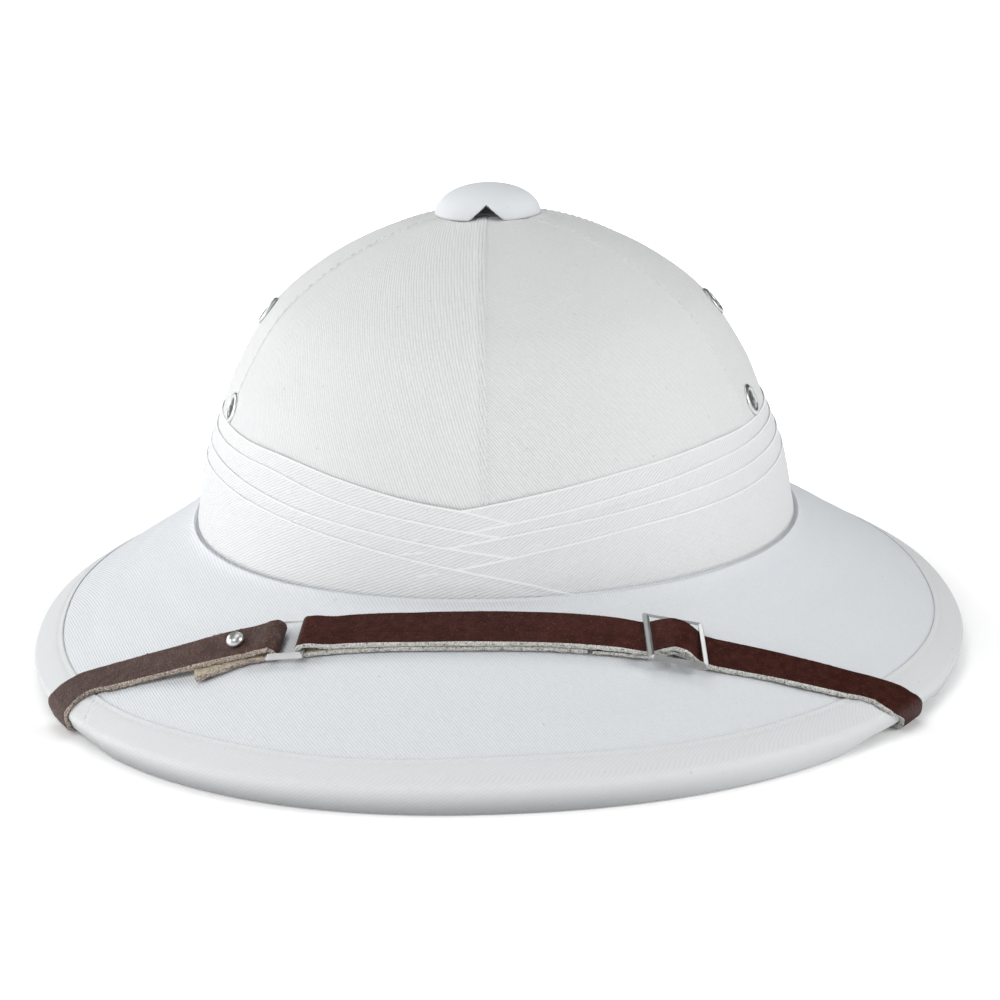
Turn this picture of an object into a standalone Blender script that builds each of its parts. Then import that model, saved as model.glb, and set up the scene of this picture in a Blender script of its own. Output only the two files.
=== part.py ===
"""A white pith helmet with a pleated cloth band and a brown leather chin strap laid over its brim.

Metres, +Z up. The hat stands on its rim at z = 0 and its front faces -Y. An angle round the hat, called
turn below, is 0 at the front and grows towards +X.
"""

import math

import bmesh
import bpy
import numpy as np
from mathutils import Matrix, Vector

MM = 0.001
HELMET, CUTTERS = "pith_helmet", "cutters"  # the two collections
GAP = 0.3 * MM  # clearance between neighbouring pieces
SMOOTH_ANGLE = math.radians(35)  # faces that meet at less are shaded as one round surface
AROUND = 60  # sections round the hat
TURNS = np.arange(AROUND) * 2 * math.pi / AROUND

# Brim: the outer edge is an oval with slightly square shoulders.
BRIM_HALF_WIDTH = 145 * MM
BRIM_HALF_LENGTH = 171.2 * MM
BRIM_SKEW = 4.5 * MM  # the right side reaches this much further back than the left one
BRIM_SQUARENESS = 2.17  # 2 is a true ellipse
LIP_HEIGHT_SIDE = 7.0 * MM
LIP_HEIGHT_FRONT = 8.8 * MM
LIP_TUCK = 3.2 * MM  # how far the lip's foot sits inside its top
BRIM_WALL = 2.5 * MM

# The oval where crown and brim meet, on the outside of the cloth band.
BASE_HALF_WIDTH = 94.2 * MM
BASE_HALF_LENGTH = 111.8 * MM
BASE_HEIGHT_SIDE = 40.4 * MM
BASE_RISE_FRONT = 3.2 * MM  # front and back of that oval stand higher than its sides
BASE_RISE_BACK = 1.2 * MM  # and the back higher than the front
CROWN_FORWARD = 2.7 * MM  # how far the crown sits forward of the brim's middle
CROWN_SEAT = 0.085  # where the crown's foot stands, as a share of the brim's run inside the base oval
BAND_SEAT = (0.045, 0.1)  # where the cloth band's foot stands, outside and inside
BRIM_INNER = 0.15  # where the brim's inner edge is, counted the same way

# Binding: a tape folded over the lip.
BINDING_WIDTH = 9.2 * MM
BINDING_CLOTH = 0.7 * MM
BINDING_STEP = 0.5 * MM  # how far the tape stands proud of the brim

# Crown: half width at heights above the floor, over the cloth band and, above it, over the crown itself.
CROWN_SIDE = (
    {"height": 42.0, "half_width": 93.0},
    {"height": 60.8, "half_width": 89.9},
    {"height": 79.5, "half_width": 83.1},
    {"height": 93.6, "half_width": 76.2},
    {"height": 107.7, "half_width": 66.7},
    {"height": 118.9, "half_width": 53.0},
    {"height": 128.3, "half_width": 35.3},
    {"height": 135.8, "half_width": 0.0},
)
CROWN_FOOT = CROWN_SIDE[0]["height"] * MM
CROWN_TOP = CROWN_SIDE[-1]["height"] * MM
LENGTH_RATIO_FOOT = 1.187  # crown length over width at its foot
LENGTH_RATIO_TOP = 1.086
CROWN_LEAN = 2.5 * MM  # the top sits this far forward of the foot
CROWN_WALL = 2.6 * MM
SEAM_TURN = math.radians(-4)  # the front seam sits a little left of the brim's middle

# Cloth band: the top edge of each fold, at the sides and where the folds cross at the front.
FOLDS = (
    {"side": 76.0, "left_cross": 65.6, "right_cross": 68.2},
    {"side": 72.2, "left_cross": 61.0, "right_cross": 62.8},
    {"side": 67.3, "left_cross": 56.0, "right_cross": 58.6},
    {"side": 62.4, "left_cross": 50.2, "right_cross": 53.2},
)
FOLD_SPREAD = math.radians(60)  # how far from the front the folds begin to dip
FOLD_POWER = 1.8
BAND_CLOTH = 0.7 * MM  # the top fold
FOLD_STEP = 0.5 * MM  # each lower fold lies over the one above
BAND_FADE = 12 * MM  # above the band the crown comes back to its measured width over this height

# Vent cap.
CAP_RADIUS = 16.2 * MM
CAP_HEIGHT = 9.2 * MM
CAP_WALL = 1.4 * MM
CAP_NOTCH_RADIUS = 5.2 * MM
CAP_NOTCH_HEIGHT = 4.6 * MM
CAP_NOTCHES = 3

# Eyelets: three on each side.
EYELET_RADIUS = 4.9 * MM
EYELET_HOLE = 2.9 * MM
EYELET_SHANK = 3.5 * MM
EYELET_RIM = 0.9 * MM
EYELETS = (
    {"place": "front", "turn": 70, "height": 81.6},
    {"place": "rear", "turn": 112, "height": 81.6},
    {"place": "upper", "turn": 91, "height": 106.4},
)

# Chin strap: two leather straps laid over the brim, round its rim and up inside the crown.
STRAP_WIDTH = 12 * MM
STRAP_THICK = 1.8 * MM
STRAP_SLANT = 17.2 * MM  # a strap crosses the rim aslant, so it covers this much of it
LEFT_RIM_TURN = math.radians(-64.3)  # where the middle of each strap crosses the rim
RIGHT_RIM_TURN = math.radians(49.0)
PRESS_HEIGHT = 2.5 * MM  # the strap presses the rim's foot up by its own thickness
PRESS_FULL = math.radians(6)
PRESS_END = math.radians(13)
LAID = GAP + STRAP_THICK / 2  # lift of a strap's middle that lies on the brim
DOUBLED = LAID + STRAP_THICK + GAP  # and of one that lies on another
FOLD_RADIUS = 2.5 * MM  # the strap's middle, round a bar of the ring
OVER_BAR = LAID + 2 * FOLD_RADIUS

# The straps' middle lines on the brim in millimetres, from the ring to the rim, with their lift over it.
SHORT_TOP = (
    {"x": -68.7, "y": -104.5, "lift": OVER_BAR},
    {"x": -71.6, "y": -103.2, "lift": DOUBLED + 2.1 * MM},
    {"x": -75.3, "y": -101.5, "lift": DOUBLED + 0.1 * MM},
    {"x": -79.0, "y": -99.8, "lift": DOUBLED},
    {"x": -86.0, "y": -96.6, "lift": DOUBLED},
    {"x": -92.5, "y": -93.6, "lift": DOUBLED - 0.2 * MM},
    {"x": -99.0, "y": -90.6, "lift": LAID},
    {"x": -108.0, "y": -86.5, "lift": LAID},
    {"x": -118.0, "y": -81.9, "lift": LAID},
)
SHORT_UNDER = (
    {"x": -68.7, "y": -104.5, "lift": LAID},
    {"x": -75.0, "y": -101.6, "lift": LAID},
    {"x": -82.0, "y": -98.4, "lift": LAID},
    {"x": -89.5, "y": -95.0, "lift": LAID},
)
LONG_TOP = (
    {"x": -57.4, "y": -109.1, "lift": OVER_BAR},
    {"x": -54.2, "y": -110.4, "lift": DOUBLED + 1.8 * MM},
    {"x": -50.0, "y": -112.0, "lift": DOUBLED + 0.2 * MM},
    {"x": -45.0, "y": -113.6, "lift": DOUBLED},
    {"x": -36.0, "y": -116.1, "lift": DOUBLED},
    {"x": -26.0, "y": -118.5, "lift": DOUBLED},
    {"x": -15.0, "y": -120.5, "lift": DOUBLED},
    {"x": -4.0, "y": -121.8, "lift": DOUBLED},
    {"x": 7.0, "y": -122.5, "lift": DOUBLED},
    {"x": 18.0, "y": -122.6, "lift": DOUBLED},
    {"x": 27.0, "y": -122.3, "lift": DOUBLED},
    {"x": 31.5, "y": -122.1, "lift": DOUBLED - 0.9 * MM},
    {"x": 35.3, "y": -121.9, "lift": LAID},
    {"x": 38.4, "y": -121.7, "lift": LAID},
    {"x": 41.0, "y": -121.6, "lift": LAID + 2.3 * MM},
    {"x": 43.4, "y": -121.5, "lift": LAID + 3.9 * MM},
    {"x": 46.2, "y": -121.3, "lift": LAID + 3.9 * MM},
    {"x": 48.6, "y": -121.2, "lift": LAID + 2.3 * MM},
    {"x": 51.2, "y": -121.1, "lift": LAID},
    {"x": 54.3, "y": -120.9, "lift": LAID},
    {"x": 60.0, "y": -120.5, "lift": LAID},
    {"x": 70.0, "y": -119.4, "lift": LAID},
    {"x": 82.0, "y": -117.6, "lift": LAID},
    {"x": 92.0, "y": -115.9, "lift": LAID},
    {"x": 98.0, "y": -114.9, "lift": LAID},
)
LONG_UNDER = (
    {"x": -57.4, "y": -109.1, "lift": LAID},
    {"x": -46.0, "y": -113.3, "lift": LAID},
    {"x": -34.0, "y": -116.6, "lift": LAID},
    {"x": -21.0, "y": -119.5, "lift": LAID},
    {"x": -8.0, "y": -121.4, "lift": LAID},
    {"x": 5.0, "y": -122.4, "lift": LAID},
    {"x": 16.0, "y": -122.6, "lift": LAID},
    {"x": 25.0, "y": -122.4, "lift": LAID},
)

# The hidden stretch: from the rim's foot up under the brim, then flat against the crown's inside.
UNDER_BRIM = (
    {"share": 0.3, "turn": 68.0},
    {"share": 0.65, "turn": 73.5},
    {"share": 1.0, "turn": 79.5},
)
WALL_ROWS = (
    {"height": 46.0, "turn": 82.0, "away": 1.8},
    {"height": 53.0, "turn": 85.0, "away": 0.9},
    {"height": 61.0, "turn": 88.0, "away": 0.6},
)

# Ring, slider and stud.
BAR_THICK = 0.9 * MM
BAR_DEPTH = 1.4 * MM
RING_WIDTH = 16.4 * MM
SLIDER_X = 44.8
SLIDER_LENGTH = 17.6 * MM
SLIDER_WIDTH = 17.2 * MM
SLIDER_SIDE = 1.8 * MM
SLIDER_THICK = 1.0 * MM
SLIDER_LIFT = 2.7 * MM
STUD_X = -79.0
STUD_RADIUS = 3.1 * MM
STUD_SHANK = 1.3 * MM
STUD_DOME = 2.3 * MM


def material(name, colour, roughness, metallic=0.0):
    made = bpy.data.materials.new(name)
    made.use_nodes = True
    shader = made.node_tree.nodes["Principled BSDF"]
    shader.inputs["Base Color"].default_value = (*colour, 1)
    shader.inputs["Roughness"].default_value = roughness
    shader.inputs["Metallic"].default_value = metallic
    made.diffuse_color = (*colour, 1)
    return made


def between(low, high, share):
    return low + (high - low) * share


def smooth_table(xs, ys, x):
    """Monotone cubic through the rows of a short table, so that it never swings past them."""
    xs, ys = np.asarray(xs, float), np.asarray(ys, float)
    step, rise = np.diff(xs), np.diff(ys) / np.diff(xs)
    slope = np.empty_like(ys)
    slope[0], slope[-1] = rise[0], rise[-1]
    same_way = rise[:-1] * rise[1:] > 0
    near, far = 2 * step[1:] + step[:-1], step[1:] + 2 * step[:-1]
    with np.errstate(divide="ignore", invalid="ignore"):
        mean = (near + far) / (near / rise[:-1] + far / rise[1:])
    slope[1:-1] = np.where(same_way, mean, 0)
    span = np.clip(np.searchsorted(xs, x) - 1, 0, len(step) - 1)
    share = (x - xs[span]) / step[span]
    bend = share**2 * (3 - 2 * share)
    lead = share * (1 - share) ** 2 * slope[span] - share**2 * (1 - share) * slope[span + 1]
    return between(ys[span], ys[span + 1], bend) + step[span] * lead


# ---- the brim's shape ----


def brim_edge(turn):
    """The top of the lip at a turn."""
    side, front = np.sin(turn), np.cos(turn)
    power = 2 / BRIM_SQUARENESS
    x = BRIM_HALF_WIDTH * np.sign(side) * np.abs(side) ** power
    y = -BRIM_HALF_LENGTH * np.sign(front) * np.abs(front) ** power + BRIM_SKEW * side
    z = between(LIP_HEIGHT_SIDE, LIP_HEIGHT_FRONT, front**2)
    return np.stack([x, y, z], -1)


def base_oval(turn):
    """Where the brim meets the cloth band."""
    side, front = np.sin(turn), np.cos(turn)
    z = BASE_HEIGHT_SIDE + BASE_RISE_FRONT * front**2 - BASE_RISE_BACK * front
    return np.stack([BASE_HALF_WIDTH * side, -CROWN_FORWARD - BASE_HALF_LENGTH * front, z], -1)


def brim_run(turn):
    """The level way in from the brim's edge to the base oval: its direction and its length."""
    way = (base_oval(turn) - brim_edge(turn))[..., :2]
    run = np.linalg.norm(way, axis=-1)
    return way / run[..., None], run


def brim_slope(turn):
    return (base_oval(turn) - brim_edge(turn))[..., 2] / brim_run(turn)[1]


def brim_point(turn, inward, height):
    """A point in the upright plane of a turn, a level distance in from the brim's edge."""
    flat = brim_edge(turn)[..., :2] + brim_run(turn)[0] * np.asarray(inward)[..., None]
    height = np.broadcast_to(height, flat.shape[:-1])
    return np.concatenate([flat, height[..., None]], -1)


def slope_height(turn, inward, depth):
    """The height of a layer that lies a depth under the brim's outer skin."""
    slope = brim_slope(turn)
    return brim_edge(turn)[..., 2] + slope * inward - depth * np.hypot(1, slope)


def slope_row(turn, inward, depth):
    return brim_point(turn, inward, slope_height(turn, inward, depth))


def share_row(turn, share, depth):
    """A row a share of the brim's run inside the base oval, or outside it where the share is below 0."""
    return slope_row(turn, brim_run(turn)[1] * (1 + share), depth)


def lip_lean(turn):
    return LIP_TUCK / (brim_edge(turn)[..., 2] - GAP)


def rim_lift(turn):
    """How far the lip's foot is pressed up where a strap passes under it."""
    lift = np.zeros_like(turn)
    for crossing in (LEFT_RIM_TURN, RIGHT_RIM_TURN):
        away = np.abs((turn - crossing + math.pi) % (2 * math.pi) - math.pi)
        share = np.clip((PRESS_END - away) / (PRESS_END - PRESS_FULL), 0, 1)
        lift = np.maximum(lift, PRESS_HEIGHT * share**2 * (3 - 2 * share))
    return lift


def lip_foot(turn, depth, height):
    """The foot of a layer of the lip, at a height over the rim's own foot."""
    height = height + rim_lift(turn)
    lean = lip_lean(turn)
    return brim_point(turn, LIP_TUCK - height * lean + depth * np.hypot(1, lean), height)


def lip_corner(turn, depth, along_top=0.0, down_lip=0.0):
    """Where a layer of the slope meets the same layer of the lip, or a point a little way along either."""
    lean, slope = lip_lean(turn), brim_slope(turn)
    long_lean, long_slope = np.hypot(1, lean), np.hypot(1, slope)
    top = brim_edge(turn)[..., 2]
    inward = (LIP_TUCK - lean * top + depth * (lean * long_slope + long_lean)) / (1 + slope * lean)
    height = top + slope * inward - depth * long_slope
    inward = inward + along_top / long_slope + down_lip * lean / long_lean
    height = height + along_top * slope / long_slope - down_lip / long_lean
    return brim_point(turn, inward, height)


def lip_bend(turn, depth, radius):
    """Three rows that round the lip's corner."""
    start = lip_corner(turn, depth, along_top=radius)
    end = lip_corner(turn, depth, down_lip=radius)
    return [start, 0.25 * start + 0.5 * lip_corner(turn, depth) + 0.25 * end, end]


# ---- the crown's shape ----


def length_ratio(height):
    share = np.clip((height - CROWN_FOOT) / (CROWN_TOP - CROWN_FOOT), 0, 1)
    return between(LENGTH_RATIO_FOOT, LENGTH_RATIO_TOP, share**2)


def half_width(height):
    """The crown's half width, without the cloth band."""
    heights = [row["height"] * MM for row in CROWN_SIDE]
    squares = [(row["half_width"] * MM) ** 2 for row in CROWN_SIDE]
    measured = np.sqrt(np.maximum(smooth_table(heights, squares, np.clip(height, heights[0], heights[-1])), 0))
    all_folds = GAP + BAND_CLOTH + FOLD_STEP * (len(FOLDS) - 1)
    low, high = FOLDS[-1]["side"] * MM, FOLDS[0]["side"] * MM
    return measured - np.interp(height, [low, high, high + BAND_FADE], [all_folds, GAP + BAND_CLOTH, 0])


def crown_point(turn, height, out=0.0):
    """A point a distance outside the crown's cloth at a height, straight out."""
    wide = half_width(height)
    lean = CROWN_LEAN * np.clip((height - CROWN_FOOT) / (CROWN_TOP - CROWN_FOOT), 0, 1)
    x = (wide + out) * np.sin(turn)
    y = -CROWN_FORWARD - lean - (length_ratio(height) * wide + out) * np.cos(turn)
    return np.stack(np.broadcast_arrays(x, y, height), -1)


def crown_normal(turn, height):
    little = 0.2 * MM
    up = crown_point(turn, height + little) - crown_point(turn, height - little)
    round_way = crown_point(turn + 0.01, height) - crown_point(turn - 0.01, height)
    normal = np.cross(round_way, up)
    return normal / np.linalg.norm(normal, axis=-1)[..., None]


def inside_crown(turn, height, depth):
    return crown_point(turn, height) - crown_normal(turn, height) * depth


# ---- meshes ----


def add_object(name, mesh, collection):
    made = bpy.data.objects.new(name, mesh)
    bpy.data.collections[collection].objects.link(made)
    return made


def finish_mesh(name, maker, finish):
    mesh = bpy.data.meshes.new(name)
    bmesh.ops.recalc_face_normals(maker, faces=maker.faces)
    maker.to_mesh(mesh)
    maker.free()
    mesh.shade_smooth()
    mesh.set_sharp_from_angle(angle=SMOOTH_ANGLE)
    mesh.materials.append(finish)
    return add_object(name, mesh, HELMET)


def loft(name, rows, finish, ring=False):
    """A skin over rows of points. Each row is a closed loop; as a ring, the last row joins the first again."""
    maker = bmesh.new()
    loops = [[maker.verts.new(point) for point in row] for row in rows]
    pairs = list(zip(loops, loops[1:] + loops[:1] if ring else loops[1:]))
    for first, second in pairs:
        for here in range(len(first)):
            after = (here + 1) % len(first)
            maker.faces.new((first[here], first[after], second[after], second[here]))
    if not ring:
        maker.faces.new(loops[0])
        maker.faces.new(loops[-1])
    return finish_mesh(name, maker, finish)


def turned(name, profile, finish, steps, place=Matrix()):
    """A closed profile of (radius, height) points spun round Z, then placed."""
    mesh = bpy.data.meshes.new(name)
    count = len(profile)
    pairs = zip(profile, profile[1:] + profile[:1])
    if sum(r0 * z1 - r1 * z0 for (r0, z0), (r1, z1) in pairs) > 0:
        profile = profile[::-1]
    points = [(radius, 0, height) for radius, height in profile]
    mesh.from_pydata(points, [(i, (i + 1) % count) for i in range(count)], [])
    mesh.materials.append(finish)
    made = add_object(name, mesh, HELMET)
    spin = made.modifiers.new("Spin", "SCREW")
    spin.steps = spin.render_steps = steps
    spin.use_merge_vertices = True
    spin.merge_threshold = 0.01 * MM
    made.matrix_world = place
    return made


def cut(target, maker, name, place):
    """Cuts a bmesh out of a piece, at a place."""
    mesh = bpy.data.meshes.new(name)
    maker.to_mesh(mesh)
    maker.free()
    cutter = add_object(name, mesh, CUTTERS)
    cutter.hide_render = True
    cutter.display_type = "WIRE"
    cutter.matrix_world = place
    hole = target.modifiers.new(name, "BOOLEAN")
    hole.operation = "DIFFERENCE"
    hole.solver = "EXACT"
    hole.object = cutter


def drill(target, name, radius, length, place, sides):
    """Cuts a round hole of a length, centred on a place whose Z axis is the hole's."""
    maker = bmesh.new()
    bmesh.ops.create_cone(
        maker, cap_ends=True, segments=sides, radius1=radius, radius2=radius, depth=length
    )
    cut(target, maker, name, place)


def facing(point, normal, across=(0, 0, 1)):
    """A place at a point whose Z axis is the normal and whose Y axis leans towards across."""
    z = Vector(normal).normalized()
    x = Vector(across).cross(z).normalized()
    rotation = Matrix((x, z.cross(x), z)).transposed().to_4x4()
    return Matrix.Translation(Vector(point)) @ rotation


# ---- pieces ----


def make_brim(finish):
    """The sloping ring and its lip, stepped down under the tape that binds it."""
    under_tape = BINDING_CLOTH + GAP
    inner_face = under_tape + BRIM_WALL - BINDING_STEP
    tape_end = BINDING_WIDTH + GAP
    rows = [share_row(TURNS, share, BINDING_STEP) for share in (BRIM_INNER, 0, -0.45)]
    rows += [slope_row(TURNS, tape_end, BINDING_STEP), slope_row(TURNS, tape_end, under_tape)]
    rows += lip_bend(TURNS, under_tape, 1.5 * MM)
    rows += [lip_foot(TURNS, under_tape, under_tape), lip_foot(TURNS, inner_face, under_tape)]
    rows += [lip_corner(TURNS, inner_face)]
    rows += [share_row(TURNS, share, inner_face) for share in (-0.45, 0, BRIM_INNER)]
    return loft("brim", rows, finish, ring=True)


def make_binding(finish):
    """The tape round the lip: over the top, under the foot and up inside."""
    inside = 2 * (BINDING_CLOTH + GAP) + BRIM_WALL - BINDING_STEP
    inner_end = BINDING_WIDTH + 3 * MM
    rows = [slope_row(TURNS, BINDING_WIDTH, 0)]
    rows += lip_bend(TURNS, 0, 2 * MM)
    rows += [lip_foot(TURNS, 0, 0), lip_foot(TURNS, inside, 0), lip_corner(TURNS, inside)]
    rows += [slope_row(TURNS, inner_end, inside), slope_row(TURNS, inner_end, inside - BINDING_CLOTH)]
    rows += [lip_corner(TURNS, inside - BINDING_CLOTH)]
    rows += [lip_foot(TURNS, depth, BINDING_CLOTH) for depth in (inside - BINDING_CLOTH, BINDING_CLOTH)]
    rows += lip_bend(TURNS, BINDING_CLOTH, 1.6 * MM)[::-1]
    rows += [slope_row(TURNS, BINDING_WIDTH, BINDING_CLOTH)]
    return loft("brim_binding", rows, finish, ring=True)


def make_crown(finish):
    """The dome, 2.6 mm thick, open at its foot and at the vent."""
    seat = np.array([0, 0, GAP])
    heights = np.array([52, 61, 70, 79, 88, 97, 106, 114, 121, 127, 131.5, 134.2]) * MM
    vent = CROWN_TOP - 0.3 * MM  # here the dome is as wide as the vent
    outside = [share_row(TURNS, CROWN_SEAT, BINDING_STEP) + seat]
    outside += [crown_point(TURNS, height) for height in heights]
    outside += [crown_point(TURNS, vent)]
    inside = [inside_crown(TURNS, height, CROWN_WALL) for height in (vent, *heights[-2::-2], heights[0])]
    inside += [share_row(TURNS, BRIM_INNER, BINDING_STEP) + seat]
    return loft("crown", outside + inside, finish, ring=True)


def fold_heights(turn):
    """The top edge of each fold at a turn: level at the sides and back, dipping to the crossing in front."""
    away = (turn - SEAM_TURN + math.pi) % (2 * math.pi) - math.pi
    dip = np.clip(1 - np.abs(away) / FOLD_SPREAD, 0, 1) ** FOLD_POWER
    edges = []
    for fold in FOLDS:
        cross = np.where(away < 0, fold["left_cross"], fold["right_cross"])
        edges.append(between(fold["side"], cross, dip) * MM)
    return edges


def make_pugree(finish):
    """The cloth band: each lower fold lies half a millimetre over the one above."""
    edges = fold_heights(TURNS)
    foot, inner_foot = [share_row(TURNS, share, BINDING_STEP)[:, 2] + GAP for share in BAND_SEAT]
    out = GAP + BAND_CLOTH
    rows = [crown_point(TURNS, edges[0], GAP), crown_point(TURNS, edges[0], out)]
    for edge in edges[1:]:
        rows += [crown_point(TURNS, edge, out), crown_point(TURNS, edge, out + FOLD_STEP)]
        out += FOLD_STEP
    rows += [crown_point(TURNS, between(edges[-1], foot, 0.5), out), crown_point(TURNS, foot, out)]
    shares = (0, 0.2, 0.4, 0.6, 0.8)
    rows += [crown_point(TURNS, between(inner_foot, edges[0], share), 1.5 * GAP) for share in shares]
    return loft("pugree", rows, finish, ring=True)


def make_vent_cap(finish):
    """The hollow button, its foot on the crown and three arched notches cut in it."""
    foot = CROWN_TOP - 0.95 * MM
    steps = np.linspace(0, 1, 7)[:-1] * math.pi / 2
    dome = [(CAP_RADIUS * math.cos(a), CAP_HEIGHT * math.sin(a)) for a in steps]
    inner = [((CAP_RADIUS - CAP_WALL) * math.cos(a), (CAP_HEIGHT - CAP_WALL) * math.sin(a)) for a in steps]
    profile = dome + [(0, CAP_HEIGHT), (0, CAP_HEIGHT - CAP_WALL)] + inner[::-1]
    middle_y = -CROWN_FORWARD - CROWN_LEAN
    cap = turned("vent_cap", profile, finish, 30, Matrix.Translation((0, middle_y, foot)))
    for number in range(CAP_NOTCHES):
        turn = SEAM_TURN + number * 2 * math.pi / CAP_NOTCHES
        way = Vector((math.sin(turn), -math.cos(turn), 0))
        middle = Vector((0, middle_y, foot + CAP_NOTCH_HEIGHT - CAP_NOTCH_RADIUS)) + way * CAP_RADIUS
        drill(cap, f"cut_notch_{number}", CAP_NOTCH_RADIUS, CAP_RADIUS, facing(middle, way), 16)
    return cap


def make_eyelets(crown, finish):
    profile = [
        (EYELET_HOLE, EYELET_RIM * 0.8),
        (EYELET_HOLE + 0.7 * MM, EYELET_RIM),
        (EYELET_RADIUS - 0.5 * MM, EYELET_RIM * 0.75),
        (EYELET_RADIUS, 0),
        (EYELET_SHANK, 0),
        (EYELET_SHANK, -CROWN_WALL - GAP),
        (EYELET_HOLE, -CROWN_WALL - GAP),
    ]
    for side, way in (("left", -1), ("right", 1)):
        for row in EYELETS:
            turn, height = SEAM_TURN + way * math.radians(row["turn"]), row["height"] * MM
            normal = crown_normal(turn, height)
            place = facing(crown_point(turn, height) + normal * GAP * 1.5, normal)
            name = f"eyelet_{side}_{row['place']}"
            turned(name, profile, finish, 14, place)
            drill(crown, f"cut_{name}", EYELET_SHANK + GAP, 4 * CROWN_WALL, place, 14)


# ---- the chin strap ----


def on_brim(x, y):
    """The turn and the level distance in from the edge of a point seen from above."""
    turns = np.linspace(-math.pi, math.pi, 7201)
    edge, way = brim_edge(turns)[:, :2], brim_run(turns)[0]
    offset = np.array([x, y]) - edge
    beside = np.abs(offset[:, 0] * way[:, 1] - offset[:, 1] * way[:, 0])
    inward = (offset * way).sum(1)
    beside[inward < -30 * MM] = 1
    nearest = np.argmin(np.where(inward < brim_run(turns)[1] * 1.2, beside, 1))
    return turns[nearest], inward[nearest]


def brim_normal(turn):
    slope = brim_slope(turn)
    up = np.append(-brim_run(turn)[0] * slope, 1)
    return up / np.linalg.norm(up)


def lay(x, y, lift):
    """A point lifted off the brim's skin, and the normal there."""
    turn, inward = on_brim(x, y)
    normal = brim_normal(turn)
    return slope_row(turn, inward, 0) + normal * lift, normal


def strap_section(middles, normals):
    """The six corners of a strap's section: three above and three below, from one edge to the other."""
    half = normals * STRAP_THICK / 2
    return np.concatenate([middles + half, (middles - half)[::-1]])


def top_sections(table, flip=False):
    """Sections across a stretch that lies on the brim. The crown's side comes first in each."""
    places = np.array([[row["x"] * MM, row["y"] * MM] for row in table])
    lifts = [row["lift"] for row in table]
    ways = np.gradient(places, axis=0)
    sections = []
    for place, way, lift in zip(places, ways, lifts):
        normal = lay(*place, 0)[1]
        across = np.cross(normal, np.append(way, 0))
        across /= np.linalg.norm(across)
        if np.dot(across[:2], place) > 0:
            across = -across
        shifts = [across[:2] * STRAP_WIDTH / 2 * share for share in (1, 0, -1)]
        laid = [lay(*(place + shift), lift) for shift in shifts]
        middles, normals = np.array([row[0] for row in laid]), np.array([row[1] for row in laid])
        sections.append(strap_section(middles, -normals if flip else normals))
    return sections


def fold_sections(table):
    """The half turn round a bar, from the under layer to the top one."""
    first, second = table[0], table[1]
    place = np.array([first["x"], first["y"]]) * MM
    way = place - np.array([second["x"], second["y"]]) * MM
    way = np.append(way / np.linalg.norm(way), 0)
    sections = []
    for angle in np.radians((-60, -30, 0, 30, 60)):
        middle, normal = lay(*place, LAID + FOLD_RADIUS)
        ahead = way - normal * np.dot(way, normal)
        ahead /= np.linalg.norm(ahead)
        out = ahead * math.cos(angle) + normal * math.sin(angle)
        across = np.cross(normal, ahead)
        if np.dot(across, middle) > 0:
            across = -across
        middles = np.array([middle + out * FOLD_RADIUS + across * STRAP_WIDTH / 2 * s for s in (1, 0, -1)])
        sections.append(strap_section(middles, np.array([out] * 3)))
    return sections


def rim_sections(turn, side):
    """Round the lip: each section follows the rim, because the strap crosses it aslant."""
    little = 0.001
    per_turn = np.linalg.norm(brim_edge(turn + little) - brim_edge(turn)) / little
    reach = side * STRAP_SLANT / 2 / per_turn
    turns = turn + np.array([reach, 0, -reach])
    inside = 2 * (BINDING_CLOTH + GAP) + BRIM_WALL - BINDING_STEP
    near, far = -1.5 * GAP, -1.5 * GAP - STRAP_THICK
    low, lowest = -GAP, -GAP - STRAP_THICK

    def pair(outer, inner):
        return np.concatenate([outer, inner[::-1]])

    sections = [pair(slope_row(turns, 3.4 * MM, far), slope_row(turns, 3.4 * MM, near))]
    outer, inner = lip_bend(turns, far, 2.6 * MM), lip_bend(turns, near, 2 * MM)
    sections += [pair(*rows) for rows in zip(outer, inner)]
    sections += [pair(lip_foot(turns, far, lowest), lip_foot(turns, near, low))]
    sections += [pair(lip_foot(turns, inside - far, lowest), lip_foot(turns, inside - near, low))]
    return sections


def hidden_sections(side):
    """Up along the underside of the brim, then against the crown's inside, climbing aslant."""
    lean = side * math.radians(3.2) * np.array([1, 0, -1])
    near = 2 * (BINDING_CLOTH + GAP) + BRIM_WALL - BINDING_STEP + GAP
    sections = []
    for row in UNDER_BRIM:
        turns = side * math.radians(row["turn"]) + lean
        inward = brim_run(turns)[1] * (1 + BRIM_INNER) * row["share"]
        outer, inner = slope_row(turns, inward, near + STRAP_THICK), slope_row(turns, inward, near)
        sections.append(np.concatenate([outer, inner[::-1]]))
    for row in WALL_ROWS:
        near = CROWN_WALL + row["away"] * MM
        turns = side * math.radians(row["turn"]) + lean
        heights = (row["height"] + np.array([-2.2, 0, 2.2])) * MM
        outer = inside_crown(turns, heights, near + STRAP_THICK)
        inner = inside_crown(turns, heights, near)
        sections.append(np.concatenate([outer, inner[::-1]]))
    return sections


def make_strap(name, top, under, rim_turn, side, finish):
    sections = top_sections(under, flip=True)[::-1] + fold_sections(under) + top_sections(top)
    sections += rim_sections(rim_turn, side) + hidden_sections(side)
    return loft(name, sections, finish)


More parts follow.
